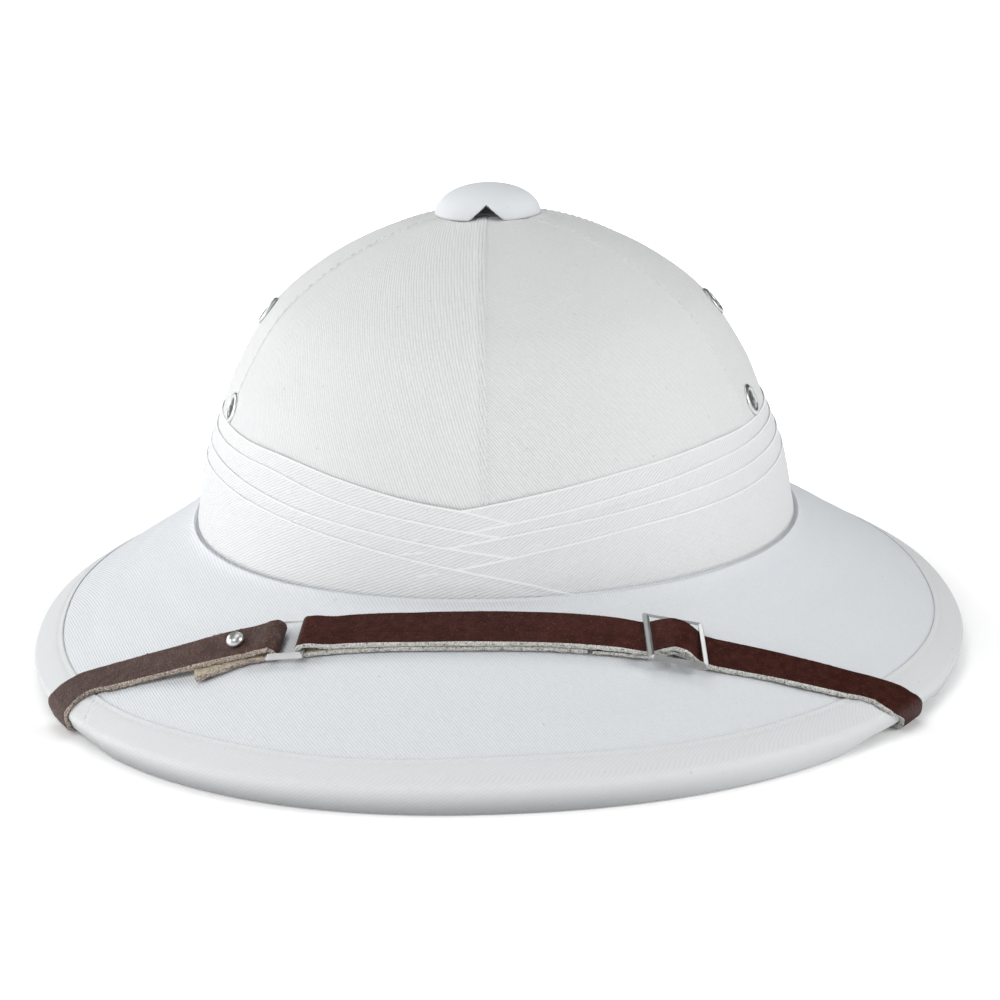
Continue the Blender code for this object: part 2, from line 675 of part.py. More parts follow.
def flat_frame(name, place, length, width, side, thick, finish, middle_bar=False):
    """A rectangular metal frame around its place, cut from one block; X runs along the strap."""
    maker = bmesh.new()
    bmesh.ops.create_cube(maker, size=1, matrix=Matrix.Diagonal((length, width, thick, 1)))
    frame = finish_mesh(name, maker, finish)
    frame.matrix_world = place
    hollow_length, hollow_width = length - 2 * side, width - 2 * side
    if middle_bar:
        window = (hollow_length - side) / 2
        holes = [(-(window + side) / 2, window), ((window + side) / 2, window)]
    else:
        holes = [(0, hollow_length)]
    for number, (shift, long) in enumerate(holes):
        maker = bmesh.new()
        size = Matrix.Diagonal((long, hollow_width, 3 * thick, 1))
        bmesh.ops.create_cube(maker, size=1, matrix=Matrix.Translation((shift, 0, 0)) @ size)
        cut(frame, maker, f"cut_{name}_{number}", place)
    return frame


def strap_place(first, second, lift):
    """A place midway between two points lifted off the brim: X along the strap, Z off the brim."""
    (start, out_start), (end, out_end) = lay(*first, lift), lay(*second, lift)
    along = Vector(end - start)
    across = Vector(out_start + out_end).cross(along)
    return facing((start + end) / 2, along.cross(across), across), along.length


def make_metal(short, finish):
    folds = [(table[0]["x"] * MM, table[0]["y"] * MM) for table in (SHORT_TOP, LONG_TOP)]
    place, apart = strap_place(*folds, LAID + FOLD_RADIUS)
    flat_frame("strap_ring", place, apart + BAR_THICK, RING_WIDTH, BAR_THICK, BAR_DEPTH, finish)

    xs, ys = [row["x"] for row in LONG_TOP], [row["y"] for row in LONG_TOP]
    ends = [(x * MM, np.interp(x, xs, ys) * MM) for x in (SLIDER_X - 8, SLIDER_X + 8)]
    place, _ = strap_place(*ends, SLIDER_LIFT + SLIDER_THICK / 2)
    sizes = (SLIDER_LENGTH, SLIDER_WIDTH, SLIDER_SIDE, SLIDER_THICK)
    flat_frame("strap_slider", place, *sizes, finish, middle_bar=True)

    row = next(row for row in SHORT_TOP if row["x"] == STUD_X)
    seat = DOUBLED + STRAP_THICK / 2 + 1.7 * GAP
    point, normal = lay(row["x"] * MM, row["y"] * MM, seat)
    steps = [math.radians(angle) for angle in (0, 30, 60)]
    dome = [(STUD_RADIUS * math.cos(a), 0.5 * MM + STUD_DOME * math.sin(a)) for a in steps]
    profile = [(0, GAP - seat), (STUD_SHANK, GAP - seat), (STUD_SHANK, 0), (STUD_RADIUS * 0.9, 0)]
    profile += dome + [(0, 0.5 * MM + STUD_DOME)]
    place = facing(point, normal)
    turned("strap_stud", profile, finish, 14, place)
    drill(short, "cut_stud", STUD_SHANK + GAP, 4 * seat, place, 14)


def clear_scene():
    for thing in list(bpy.data.objects):
        bpy.data.objects.remove(thing)
    for name in (HELMET, CUTTERS):
        bpy.context.scene.collection.children.link(bpy.data.collections.new(name))


def main():
    clear_scene()
    cloth = material("white_twill", (0.80, 0.81, 0.83), 0.9)
    band_cloth = material("white_twill_band", (0.84, 0.84, 0.85), 0.9)
    leather = material("brown_leather", (0.062, 0.017, 0.013), 0.5)
    nickel = material("satin_nickel", (0.62, 0.62, 0.60), 0.35, metallic=1.0)

    crown = make_crown(cloth)
    make_brim(cloth)
    make_binding(cloth)
    make_pugree(band_cloth)
    make_vent_cap(cloth)
    make_eyelets(crown, nickel)
    short = make_strap("strap_short", SHORT_TOP, SHORT_UNDER, LEFT_RIM_TURN, -1, leather)
    make_strap("strap_long", LONG_TOP, LONG_UNDER, RIGHT_RIM_TURN, 1, leather)
    make_metal(short, nickel)


main()
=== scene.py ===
# %% [markdown]
# # A white pith helmet
# This notebook dresses the plain solids of a sun helmet with everything that a photograph of one shows:
# twill cloth, sewn seams, a pleated band, rolled eyelets and a leather chin strap. The solids are loaded
# first and never moved, so that each piece below has a body to lie on. They are in metres, the hat stands
# on its rim at z = 0 and its front faces -Y.

# %% Load the frame
import math

import bmesh
import bpy
import numpy as np
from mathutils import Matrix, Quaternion, Vector


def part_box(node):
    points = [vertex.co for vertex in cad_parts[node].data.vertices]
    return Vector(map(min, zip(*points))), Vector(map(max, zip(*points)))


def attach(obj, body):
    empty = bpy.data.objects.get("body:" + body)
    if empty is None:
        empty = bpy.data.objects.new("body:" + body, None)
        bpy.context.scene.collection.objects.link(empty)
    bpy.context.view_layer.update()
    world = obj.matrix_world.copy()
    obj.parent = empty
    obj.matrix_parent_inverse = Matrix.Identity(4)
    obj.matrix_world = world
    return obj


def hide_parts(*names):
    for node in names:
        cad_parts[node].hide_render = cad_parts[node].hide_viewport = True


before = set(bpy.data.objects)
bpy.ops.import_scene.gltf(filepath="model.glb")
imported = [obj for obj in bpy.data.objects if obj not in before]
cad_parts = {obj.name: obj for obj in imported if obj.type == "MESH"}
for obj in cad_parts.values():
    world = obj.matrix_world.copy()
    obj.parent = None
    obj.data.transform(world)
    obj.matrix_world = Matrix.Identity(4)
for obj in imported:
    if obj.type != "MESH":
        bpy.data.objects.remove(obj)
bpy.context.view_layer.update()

MM = 0.001

# %% [markdown]
# ## Camera
# A product photograph is taken from some distance with a long lens, so that the near brim doesn't swell.
# Blender's camera looks along its own -Z axis. to_track_quat turns that axis to the target, and a small
# roll about the same axis copies the slight tilt of the photograph.

# %% Camera
CAMERA_PLACE = Vector((-0.0366521, -0.95851495, 0.29493008))
CAMERA_TARGET = Vector((0.00143345, -0.00275712, 0.0430844))
CAMERA_ROLL = math.radians(-1.561)
LENS, SENSOR = 113.5, 36.0  # millimetres

camera = bpy.data.objects.new("camera", bpy.data.cameras.new("camera"))
camera.data.lens, camera.data.sensor_width = LENS, SENSOR
camera.data.sensor_fit = "HORIZONTAL"
camera.data.clip_start, camera.data.clip_end = 0.05, 20
camera.rotation_mode = "QUATERNION"
aim = (CAMERA_TARGET - CAMERA_PLACE).to_track_quat("-Z", "Y")
camera.rotation_quaternion = aim @ Quaternion((0, 0, 1), CAMERA_ROLL)
camera.location = CAMERA_PLACE
bpy.context.scene.collection.objects.link(camera)
bpy.context.scene.camera = camera
look = CAMERA_TARGET - CAMERA_PLACE
fall = math.degrees(math.asin(-look.z / look.length))
print(f"camera {look.length:.3f} m from its target, looking {fall:.1f} degrees down")

# %% [markdown]
# ## The shape of the hat
# Cloth on a stiff shell has no shape of its own, so every piece asks the same few functions where the
# shell is. An angle round the hat is called turn: 0 is the front, and it grows towards +X. The brim is a
# sloping surface ruled between its outer edge and the oval where it meets the crown. The crown is an oval
# at each height, with a half width from a short table and a length that follows from a ratio.

# %% Sizes of the shell
# The brim's outer edge and the oval where it meets the crown
BRIM_HALF_WIDTH, BRIM_HALF_LENGTH = 145 * MM, 171.2 * MM
BRIM_SKEW = 4.5 * MM
BRIM_SQUARENESS = 2.17
LIP_HEIGHT_SIDE, LIP_HEIGHT_FRONT = 7.0 * MM, 8.8 * MM
LIP_TUCK = 3.2 * MM
BRIM_WALL = 2.5 * MM
BASE_HALF_WIDTH, BASE_HALF_LENGTH = 94.2 * MM, 111.8 * MM
BASE_HEIGHT_SIDE, BASE_RISE_FRONT, BASE_RISE_BACK = 40.4 * MM, 3.2 * MM, 1.2 * MM
# The crown: a table of half widths, and how long the oval is for its width
CROWN_FORWARD, CROWN_LEAN = 2.7 * MM, 2.5 * MM
CROWN_FOOT, CROWN_TOP = 42.0 * MM, 135.8 * MM
CROWN_HEIGHTS = np.array([42.0, 60.8, 79.5, 93.6, 107.7, 118.9, 128.3, 135.8]) * MM
CROWN_HALF_WIDTHS = np.array([93.0, 89.9, 83.1, 76.2, 66.7, 53.0, 35.3, 0.0]) * MM
LENGTH_RATIO_FOOT, LENGTH_RATIO_TOP = 1.187, 1.086
CROWN_WALL = 2.6 * MM
BAND_LEVELS = (62.4 * MM, 76.0 * MM, 88.0 * MM)  # the band's lowest edge, its top, and where its bulge ends
BAND_BULGE = (2.5 * MM, 1.0 * MM, 0.0)  # the table above was measured over the band; the crown is inside it
GAP = 0.3 * MM
print("the brim is", 2 * BRIM_HALF_WIDTH / MM, "mm wide and", 2 * BRIM_HALF_LENGTH / MM, "mm long")


# %% Sums that come back everywhere
def between(low, high, share):
    return low + (high - low) * share


def ease(share):
    share = np.clip(share, 0, 1)
    return share * share * (3 - 2 * share)


def turn_between(first, second):
    """The smaller angle between two turns."""
    return np.abs((first - second + math.pi) % (2 * math.pi) - math.pi)


def running_length(points):
    """The distance along a line of points, at each of them."""
    return np.concatenate([[0], np.cumsum(np.linalg.norm(np.diff(points, axis=0), axis=1))])


def smooth_table(xs, ys, x):
    """A curve through a short table that never swings past its rows."""
    xs, ys = np.asarray(xs, float), np.asarray(ys, float)
    step, rise = np.diff(xs), np.diff(ys) / np.diff(xs)
    slope = np.empty_like(ys)
    slope[0], slope[-1] = rise[0], rise[-1]
    near, far = 2 * step[1:] + step[:-1], step[1:] + 2 * step[:-1]
    with np.errstate(divide="ignore", invalid="ignore"):
        mean = (near + far) / (near / rise[:-1] + far / rise[1:])
    slope[1:-1] = np.where(rise[:-1] * rise[1:] > 0, mean, 0)
    span = np.clip(np.searchsorted(xs, x) - 1, 0, len(step) - 1)
    share = (x - xs[span]) / step[span]
    lead = share * (1 - share) ** 2 * slope[span] - share**2 * (1 - share) * slope[span + 1]
    return between(ys[span], ys[span + 1], share**2 * (3 - 2 * share)) + step[span] * lead


print("a table's curve halfway:", smooth_table([0, 1, 2], [0, 1, 4], 1.5))


# %% Where the brim is
def brim_edge(turn):
    side, front = np.sin(turn), np.cos(turn)
    power = 2 / BRIM_SQUARENESS
    x = BRIM_HALF_WIDTH * np.sign(side) * np.abs(side) ** power
    y = -BRIM_HALF_LENGTH * np.sign(front) * np.abs(front) ** power + BRIM_SKEW * side
    return np.stack([x, y, between(LIP_HEIGHT_SIDE, LIP_HEIGHT_FRONT, front**2)], -1)


def base_oval(turn):
    side, front = np.sin(turn), np.cos(turn)
    z = BASE_HEIGHT_SIDE + BASE_RISE_FRONT * front**2 - BASE_RISE_BACK * front
    return np.stack([BASE_HALF_WIDTH * side, -CROWN_FORWARD - BASE_HALF_LENGTH * front, z], -1)


def brim_run(turn):
    """The level way in from the brim's edge to the base oval: its direction and its length."""
    way = (base_oval(turn) - brim_edge(turn))[..., :2]
    run = np.linalg.norm(way, axis=-1)
    return way / run[..., None], run


def brim_slope(turn):
    return (base_oval(turn) - brim_edge(turn))[..., 2] / brim_run(turn)[1]


def brim_point(turn, inward, height):
    flat = brim_edge(turn)[..., :2] + brim_run(turn)[0] * np.asarray(inward)[..., None]
    return np.concatenate([flat, np.broadcast_to(height, flat.shape[:-1])[..., None]], -1)


def slope_row(turn, inward, depth=0.0):
    """Points a level distance in from the brim's edge, on a layer a depth under its outer skin."""
    slope = brim_slope(turn)
    return brim_point(turn, inward, brim_edge(turn)[..., 2] + slope * inward - depth * np.hypot(1, slope))


def share_row(turn, share, depth=0.0):
    return slope_row(turn, brim_run(turn)[1] * (1 + share), depth)


def brim_normal(turn):
    tilt = -brim_run(turn)[0] * brim_slope(turn)[..., None]
    up = np.concatenate([tilt, np.ones(np.shape(turn) + (1,))], -1)
    return up / np.linalg.norm(up, axis=-1)[..., None]


def lip_lean(turn):
    return LIP_TUCK / (brim_edge(turn)[..., 2] - GAP)


def lip_corner(turn, depth, along_top=0.0, down_lip=0.0):
    """Where a layer of the slope meets the same layer of the lip, or a point a little way along either."""
    lean, slope = lip_lean(turn), brim_slope(turn)
    long_lean, long_slope = np.hypot(1, lean), np.hypot(1, slope)
    top = brim_edge(turn)[..., 2]
    inward = (LIP_TUCK - lean * top + depth * (lean * long_slope + long_lean)) / (1 + slope * lean)
    height = top + slope * inward - depth * long_slope
    inward = inward + along_top / long_slope + down_lip * lean / long_lean
    return brim_point(turn, inward, height + along_top * slope / long_slope - down_lip / long_lean)


falls = np.degrees(np.arctan(brim_slope(np.radians([0, 90]))))
print("the brim falls", falls.round(1), "degrees at the front and the side")


# %% Where the crown is
def length_ratio(height):
    share = np.clip((height - CROWN_FOOT) / (CROWN_TOP - CROWN_FOOT), 0, 1)
    return between(LENGTH_RATIO_FOOT, LENGTH_RATIO_TOP, share**2)


def half_width(height):
    level = np.clip(height, CROWN_HEIGHTS[0], CROWN_HEIGHTS[-1])
    measured = np.sqrt(np.maximum(smooth_table(CROWN_HEIGHTS, CROWN_HALF_WIDTHS**2, level), 0))
    return measured - np.interp(height, BAND_LEVELS, BAND_BULGE)


def crown_point(turn, height, out=0.0):
    wide = half_width(height)
    lean = CROWN_LEAN * np.clip((height - CROWN_FOOT) / (CROWN_TOP - CROWN_FOOT), 0, 1)
    x = (wide + out) * np.sin(turn)
    y = -CROWN_FORWARD - lean - (length_ratio(height) * wide + out) * np.cos(turn)
    return np.stack(np.broadcast_arrays(x, y, height), -1)


def crown_normal(turn, height):
    little = 0.2 * MM
    up = crown_point(turn, height + little) - crown_point(turn, height - little)
    round_way = crown_point(turn + 0.01, height) - crown_point(turn - 0.01, height)
    normal = np.cross(round_way, up)
    return normal / np.linalg.norm(normal, axis=-1)[..., None]


print("crown half width at 80 mm:", round(float(half_width(80 * MM)) / MM, 1), "mm")

# %% [markdown]
# ## A skin of rows
# Most pieces are a grid of points: a row for each step along the piece and a column for each step round
# it. One helper turns such a grid into a mesh. It also keeps a second, flat address for every corner, a UV
# map called weave, which says where that bit of cloth lay on the loom. The address is counted in ribs of
# the twill, across the ribs and along them, so the material draws the ribs straight and evenly however the
# cloth is bent.

# %% Pieces
def add_piece(name, mesh, *finishes, nodes=(), slot=None):
    """Puts a mesh in the scene as a piece of the hat."""
    piece = bpy.data.objects.new(name, mesh)
    bpy.context.scene.collection.objects.link(piece)
    for finish in finishes:
        mesh.materials.append(finish)
    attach(piece, "root")
    if nodes:
        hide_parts(*nodes)
    triangles = sum(len(face.vertices) - 2 for face in mesh.polygons)
    print(f"{name}: {triangles} triangles")
    return piece


# %% A mesh over a grid
def grid_mesh(name, points, around=True, ring=True, weave=None, layers=None):
    """A mesh over points[row][column]. around joins the last column to the first, and ring the rows.

    weave holds a UV for each grid corner, one more each way than there are points where the grid closes, or
    a pair of such grids: as seen from the quad on the right and from the quad on the left.
    layers gives each quad its material's number."""
    rows, columns = points.shape[:2]
    row, column = np.meshgrid(
        np.arange(rows if ring else rows - 1), np.arange(columns if around else columns - 1), indexing="ij"
    )
    row, column = row.ravel(), column.ravel()
    below, beside = (row + 1) % rows, (column + 1) % columns
    here, there = row * columns, below * columns
    quads = np.stack([here + column, here + beside, there + beside, there + column], -1)
    mesh = bpy.data.meshes.new(name)
    mesh.from_pydata(points.reshape(-1, 3).tolist(), [], quads.tolist())
    if weave is not None:
        left, right = weave if isinstance(weave, tuple) else (weave[:, :-1], weave[:, 1:])
        corners = [left[row, column], right[row, column], right[row + 1, column], left[row + 1, column]]
        corners = np.stack(corners, 1).astype(np.float32).ravel()
        mesh.uv_layers.new(name="weave").uv.foreach_set("vector", corners)
    if layers is not None:
        mesh.polygons.foreach_set("material_index", layers[row, column].astype(np.int32))
    mesh.shade_smooth()
    return mesh


flat_square = grid_mesh("square", np.array([[[0, 0, 0], [1, 0, 0]], [[0, 1, 0], [1, 1, 0.0]]]), False, False)
print("a grid of 2 x 2 points has", len(flat_square.polygons), "face")
bpy.data.meshes.remove(flat_square)


# %% Closing and joining meshes
def outward(mesh):
    """Turns every face of a closed mesh to look out."""
    maker = bmesh.new()
    maker.from_mesh(mesh)
    bmesh.ops.recalc_face_normals(maker, faces=maker.faces)
    maker.to_mesh(mesh)
    maker.free()
    return mesh


def capped(mesh, split=None, layer=None):
    """Closes the open ends of a mesh. split divides these big faces, and layer is their material's number."""
    maker = bmesh.new()
    maker.from_mesh(mesh)
    ends = bmesh.ops.holes_fill(maker, edges=[edge for edge in maker.edges if edge.is_boundary])["faces"]
    if split:
        ends = split(maker, faces=ends)["faces"]
    if layer is not None:
        for face in ends:
            face.material_index = layer
    maker.to_mesh(mesh)
    maker.free()
    return outward(mesh)


def joined(name, meshes):
    """One mesh from several, with their weave and material numbers."""
    maker = bmesh.new()
    for mesh in meshes:
        maker.from_mesh(mesh)
        bpy.data.meshes.remove(mesh)
    mesh = bpy.data.meshes.new(name)
    maker.to_mesh(mesh)
    maker.free()
    return mesh


trial = np.array([[[0, 0, height], [1, 0, height], [0, 1, height]] for height in (0.0, 1.0)])
trial = capped(grid_mesh("trial", trial, ring=False))
print("a tube of three sides has", len(trial.polygons), "faces when its ends are closed")
bpy.data.meshes.remove(trial)


# %% Ripples
def ripple(turn, along, size, seed, slowest=3):
    """Slow, shallow unevenness, the same each run: a few waves whose phases come from a seed."""
    waves = np.random.default_rng(seed)
    total = 0
    for order in range(slowest, slowest + 7):
        across, phase = waves.uniform(-70, 70), waves.uniform(0, 2 * math.pi)
        total = total + waves.uniform(0.4, 1) * np.sin(order * turn + across * along + phase)
    return size * total / 3


print("a ripple of 1 mm at three turns:", np.round(ripple(np.radians([0, 90, 270]), 0, 1, seed=4), 2))

# %% [markdown]
# ## Shader maths
# A procedural material is a formula. Written as nodes one by one it is hard to read, so a small class wraps
# a node's output and lends it plus, minus, times and power: each sign adds the Math node that does the
# sum. Everything that isn't a sum goes through one method, add, which takes the kind of node, its settings
# and what goes into its sockets.

# %% A socket for sums
class Signal:
    """A socket that carries a number or a colour, and the material that it belongs to."""

    def __init__(self, finish, socket):
        self.finish, self.socket = finish, socket

    def sum(self, operation, first, second=0.0):
        return self.finish.add("ShaderNodeMath", {"operation": operation}, {0: first, 1: second})

    def __add__(self, other):
        return self.sum("ADD", self, other)

    def __sub__(self, other):
        return self.sum("SUBTRACT", self, other)

    def __mul__(self, other):
        return self.sum("MULTIPLY", self, other)

    __radd__, __rmul__ = __add__, __mul__

    def __pow__(self, power):
        return self.sum("POWER", self, power)

    def __abs__(self):
        return self.sum("ABSOLUTE", self)

    def sine(self):
        return self.sum("SINE", self)

    def over(self, start, end):
        """0 up to start, 1 from end on, and smooth between."""
        settings = {"interpolation_type": "SMOOTHSTEP", "clamp": True}
        inputs = {"Value": self, "From Min": start, "From Max": end}
        return self.finish.add("ShaderNodeMapRange", settings, inputs)


print("what a socket can do:", [name for name in vars(Signal) if callable(vars(Signal)[name])])


# %% A material built by calls
class Finish:
    """A material with one Principled shader, built up by calls."""

    def __init__(self, name, **constants):
        self.material = bpy.data.materials.new(name)
        self.material.use_nodes = True
        self.nodes, self.links = self.material.node_tree.nodes, self.material.node_tree.links
        self.shader = self.nodes["Principled BSDF"]
        for socket, value in constants.items():
            self.set(self.shader.inputs[socket.replace("_", " ")], value)

    def set(self, socket, value):
        if isinstance(value, Signal):
            self.links.new(value.socket, socket)
        elif isinstance(value, (tuple, list)) and len(value) == 3 and socket.type == "RGBA":
            socket.default_value = (*value, 1)
        else:
            socket.default_value = value

    def add(self, kind, settings=None, inputs=None, output=0):
        node = self.nodes.new(kind)
        for key, value in (settings or {}).items():
            if key == "stops":
                ramp = node.color_ramp.elements
                while len(ramp) < len(value):
                    ramp.new(1.0)
                for stop, (place, colour) in zip(ramp, value):
                    stop.position, stop.color = place, (*colour, 1)
            else:
                setattr(node, key, value)
        for key, value in (inputs or {}).items():
            self.set(node.inputs[key], value)
        return Signal(self, node.outputs[output])

    def drive(self, **sockets):
        for socket, value in sockets.items():
            self.set(self.shader.inputs[socket.replace("_", " ")], value)
        return self.material

    def place(self):
        return self.add("ShaderNodeTexCoord", output="Object")

    def noise(self, scale, detail=2.0, where=None, roughness=0.5):
        settings = {"noise_dimensions": "3D"}
        inputs = {"Vector": where or self.place(), "Scale": scale, "Detail": detail, "Roughness": roughness}
        return self.add("ShaderNodeTexNoise", settings, inputs)

    def mix(self, share, low, high):
        return self.add("ShaderNodeMix", {"data_type": "RGBA"}, {0: share, 6: low, 7: high}, output=2)

    def bump(self, height, distance, strength=1.0, base=None):
        inputs = {"Height": height, "Distance": distance, "Strength": strength}
        if base is not None:
            inputs["Normal"] = base
        return self.add("ShaderNodeBump", None, inputs, output="Normal")


def shade_of(colour, share):
    """A colour made darker or lighter."""
    return tuple(share * part for part in colour)


print("half as bright as cloth white:", shade_of((0.68, 0.68, 0.68), 0.5))

# %% [markdown]
# ## White cotton twill
# Twill is woven so that each thread floats over a few others, and the floats step sideways from row to row.
# That makes the diagonal ribs that you can see here all over the cloth, about 0.8 mm apart. A picture of
# cloth could be wrapped round the hat, but it would stretch and blur. Here the ribs are a sine of the
# weave address, so they stay crisp at any distance. A second, finer sine marks the single threads, and
# slow noise bends the ribs a little, as on real cloth.

# %% Twill
RIB = 0.79 * MM  # one rib of the twill
THREAD_WHITE = 0.675  # how bright the cotton is on top of a rib


def twill(name, tint, groove=0.78, relief=0.085 * MM, foot=None, pairs=0.0, line=None):
    """White twill. groove is how bright the grooves are beside the ribs. Below the height foot the cloth is
    painted darker, most on the left: painted shade for the lip's lower part, which gets no light from below.
    pairs is how much every second rib is darker, as in a cloth of two-ply yarn. line says where a thin grey
    line of painted shade is drawn on it."""
    thread = shade_of(tint, THREAD_WHITE)
    groove = shade_of(thread, groove)
    finish = Finish(name, Roughness=0.88, Specular_IOR_Level=0.25)
    address = finish.add("ShaderNodeUVMap", {"uv_map": "weave"})
    across, along = (finish.add("ShaderNodeSeparateXYZ", None, {0: address}, output=way) for way in "XY")
    drawn = line(across, along) if line else None  # from the address as it is, before the ribs wander
    wander = finish.noise(220, 3) - 0.5
    across = across + wander * 0.35
    rib = abs((across * math.pi).sine()) ** 0.75
    floats = (along * 2.6 + across * 2.1).sine() * 0.5 + 0.5
    slub = finish.noise(900, 2)
    height = rib * (floats * 0.22 + 0.78) + slub * 0.35
    cloudy = finish.noise(28, 4)
    speck = finish.noise(620, 0).over(0.86, 0.88)
    tone = finish.mix(rib * 0.75 + slub * 0.4, groove, thread)
    shade = finish.mix(cloudy.over(0.35, 0.7) * 0.24, tone, shade_of(thread, 0.93))
    colour = finish.mix(speck * 0.25, shade, (0.28, 0.25, 0.22))
    if pairs:
        second = (across * math.pi + along * 0.3).sine().over(-0.6, 0.9)
        colour = finish.mix(second * pairs, colour, shade_of(thread, 0.4))
    # Painted shade: below the height foot the colour is darkened towards grey, most on the left, for the
    # lip's lower part, which gets no light from below.
    if foot:
        right, height_up = (
            finish.add("ShaderNodeSeparateXYZ", None, {0: finish.place()}, output=way) for way in "XZ"
        )
        painted_shade = (right * -1).over(-0.09, 0) * 0.5 + 0.15
        colour = finish.mix((height_up * -1).over(-foot, 0) * painted_shade, colour, shade_of(thread, 0.3))
    # Painted shade: a thin dark line at the tape's joint, in the groove beside its step.
    if line:
        colour = finish.mix(drawn, colour, (0.2, 0.2, 0.21))
    normal = finish.bump(height, relief, 0.9)
    return finish.drive(Base_Color=colour, Normal=normal)


crown_twill = twill("white_twill", (1.0, 1.01, 1.015), groove=0.7, relief=0.15 * MM, pairs=0.05)
brim_twill = twill("white_twill_brim", (0.965, 0.996, 1.035))
band_cloth = twill("white_twill_band", (1.0, 1.015, 1.025), groove=0.74, relief=0.13 * MM)
# Lighter than the band's twill and nearly without relief: cloth pressed smooth, with a painted highlight for
# the pleats' folds.
fold_highlight_twill = twill("white_twill_fold", (1.06, 1.075, 1.085), groove=0.93, relief=0.03 * MM)
cap_cloth = twill("white_twill_cap", (0.92, 0.955, 0.98), groove=0.96, relief=0.02 * MM)
print("twill rib", RIB / MM, "mm")

# %% [markdown]
# ## Crown
# The dome is covered with six gores, long triangles of cloth sewn edge over edge up to the vent. A seam is
# not a painted line: on one side the cloth is folded under and lies a step higher, with a row of stitches
# just inside the fold. So the grid gets extra columns close to each seam, at fixed distances in
# millimetres, and those columns are lifted to the seam's profile.

# %% Gores of the crown
SEAM_TURNS = np.radians([-4, 62, 119, 176, 233, 285])
TWILL_LEAN = math.radians(30)  # the ribs lean this much from the middle line of a gore
NEAR_SEAM = np.array([0.05, 0.25, 0.6, 1.5, 3.0]) * MM  # columns to the right of a seam
OVER_SEAM = np.array([4.6, 3.6, 3.1, 2.2, 1.6, 1.3, 1.0, 0.6, 0.3, 0.12, 0.0]) * MM  # and to its left
BETWEEN_SEAMS = 26
SEAM_STEP = 0.42 * MM


def crown_reach(turn, height):
    """How far a radian goes round the crown at a height, in metres."""
    little = 1e-3
    step = crown_point(turn + little, height) - crown_point(turn - little, height)
    return np.linalg.norm(step, axis=-1) / (2 * little)


def meridian_length(heights):
    return running_length(crown_point(np.full_like(heights, math.pi / 4), heights))


def even_heights(low, high, step):
    """Heights that are evenly spaced along the curve of the dome."""
    fine = np.concatenate([np.linspace(low, high - 4 * MM, 400), np.linspace(high - 4 * MM, high, 400)[1:]])
    length = meridian_length(fine)
    count = int(round(length[-1] / step))
    return np.interp(np.linspace(0, length[-1], count + 1), length, fine)


def seam_lift(distance):
    """Height of the cloth near a seam. Negative distances are on the side that lies on top."""
    over = SEAM_STEP * ease((distance + 3.4 * MM) / (0.5 * MM)) * ease((0.1 * MM - distance) / (0.3 * MM))
    stitched = -0.16 * MM * np.exp(-(((distance + 1.4 * MM) / (0.35 * MM)) ** 2))
    groove = -0.12 * MM * np.exp(-(((distance - 0.25 * MM) / (0.2 * MM)) ** 2))
    return over + stitched + groove


def gore_columns(height):
    """The turn of every column at a height, its distance from the nearest seam, and the gore's own u."""
    turns, gaps, addresses = [], [], []
    nexts = np.append(SEAM_TURNS[1:], SEAM_TURNS[0] + 2 * math.pi)
    for start, end in zip(SEAM_TURNS, nexts):
        room = 0.45 * crown_reach((start + end) / 2, height) * (end - start)
        squeeze = min(1.0, room / OVER_SEAM[0])
        first = start + NEAR_SEAM * squeeze / crown_reach(start, height)
        last = end - OVER_SEAM * squeeze / crown_reach(end, height)
        middle = np.linspace(first[-1], last[0], BETWEEN_SEAMS + 2)[1:-1]
        turn = np.concatenate([first, middle, last])
        gap = np.concatenate([NEAR_SEAM, np.full(BETWEEN_SEAMS, 1.0), -OVER_SEAM])
        steps = np.diff(turn) * crown_reach((turn[1:] + turn[:-1]) / 2, height)
        u = np.concatenate([[0], np.cumsum(steps)])
        turns.append(turn), gaps.append(gap), addresses.append(u - u[-1] / 2)
    return np.concatenate(turns), np.concatenate(gaps), np.stack(addresses)


print("the seams are", np.round(np.degrees(np.diff(SEAM_TURNS))), "degrees apart")

# %% The crown's outer skin
VENT_RIM = CROWN_TOP - 0.5 * MM
CLOTH_FOOT = 41.5 * MM
CROWN_STEP = 1.6 * MM  # from one row to the next
heights = even_heights(CLOTH_FOOT, VENT_RIM, CROWN_STEP)
up_gore = meridian_length(heights)
outer, weave_left, weave_right = [], [], []
for height, v in zip(heights, up_gore):
    turn, gap, u = gore_columns(height)
    flatter = np.where(np.abs(turn - SEAM_TURNS[0]) < 0.5, 1.0, 0.45)  # only the front seam is thick
    lift = seam_lift(gap) * flatter + ripple(turn, v, 0.16 * MM, seed=4)
    outer.append(crown_point(turn, height) + crown_normal(turn, height) * lift[:, None])
    across = (u * math.cos(TWILL_LEAN) + v * math.sin(TWILL_LEAN)) / RIB
    along = (-u * math.sin(TWILL_LEAN) + v * math.cos(TWILL_LEAN)) / RIB
    address = np.stack([across, along], -1)  # gore, column, 2
    # A quad between two gores belongs to the gore on its right, whose first column is the quad's right side.
    step_back = address[:, :1] - (address[:, 1:2] - address[:, :1])
    left = np.concatenate([address, np.roll(step_back, -1, axis=0)], axis=1)
    weave_left.append(left[:, :-1].reshape(-1, 2)[None])
    closing = np.concatenate([left[:, 1:-1], np.roll(address[:, :1], -1, axis=0)], axis=1)
    weave_right.append(closing.reshape(-1, 2)[None])
    column_turns = turn
print("crown rows", len(heights), "columns", len(column_turns))

# %% [markdown]
# The inside of the shell is a second grid a wall's thickness in. Both skins join at the vent and at the
# foot, which stands on the brim, so the crown is one closed body as it is in the workshop.

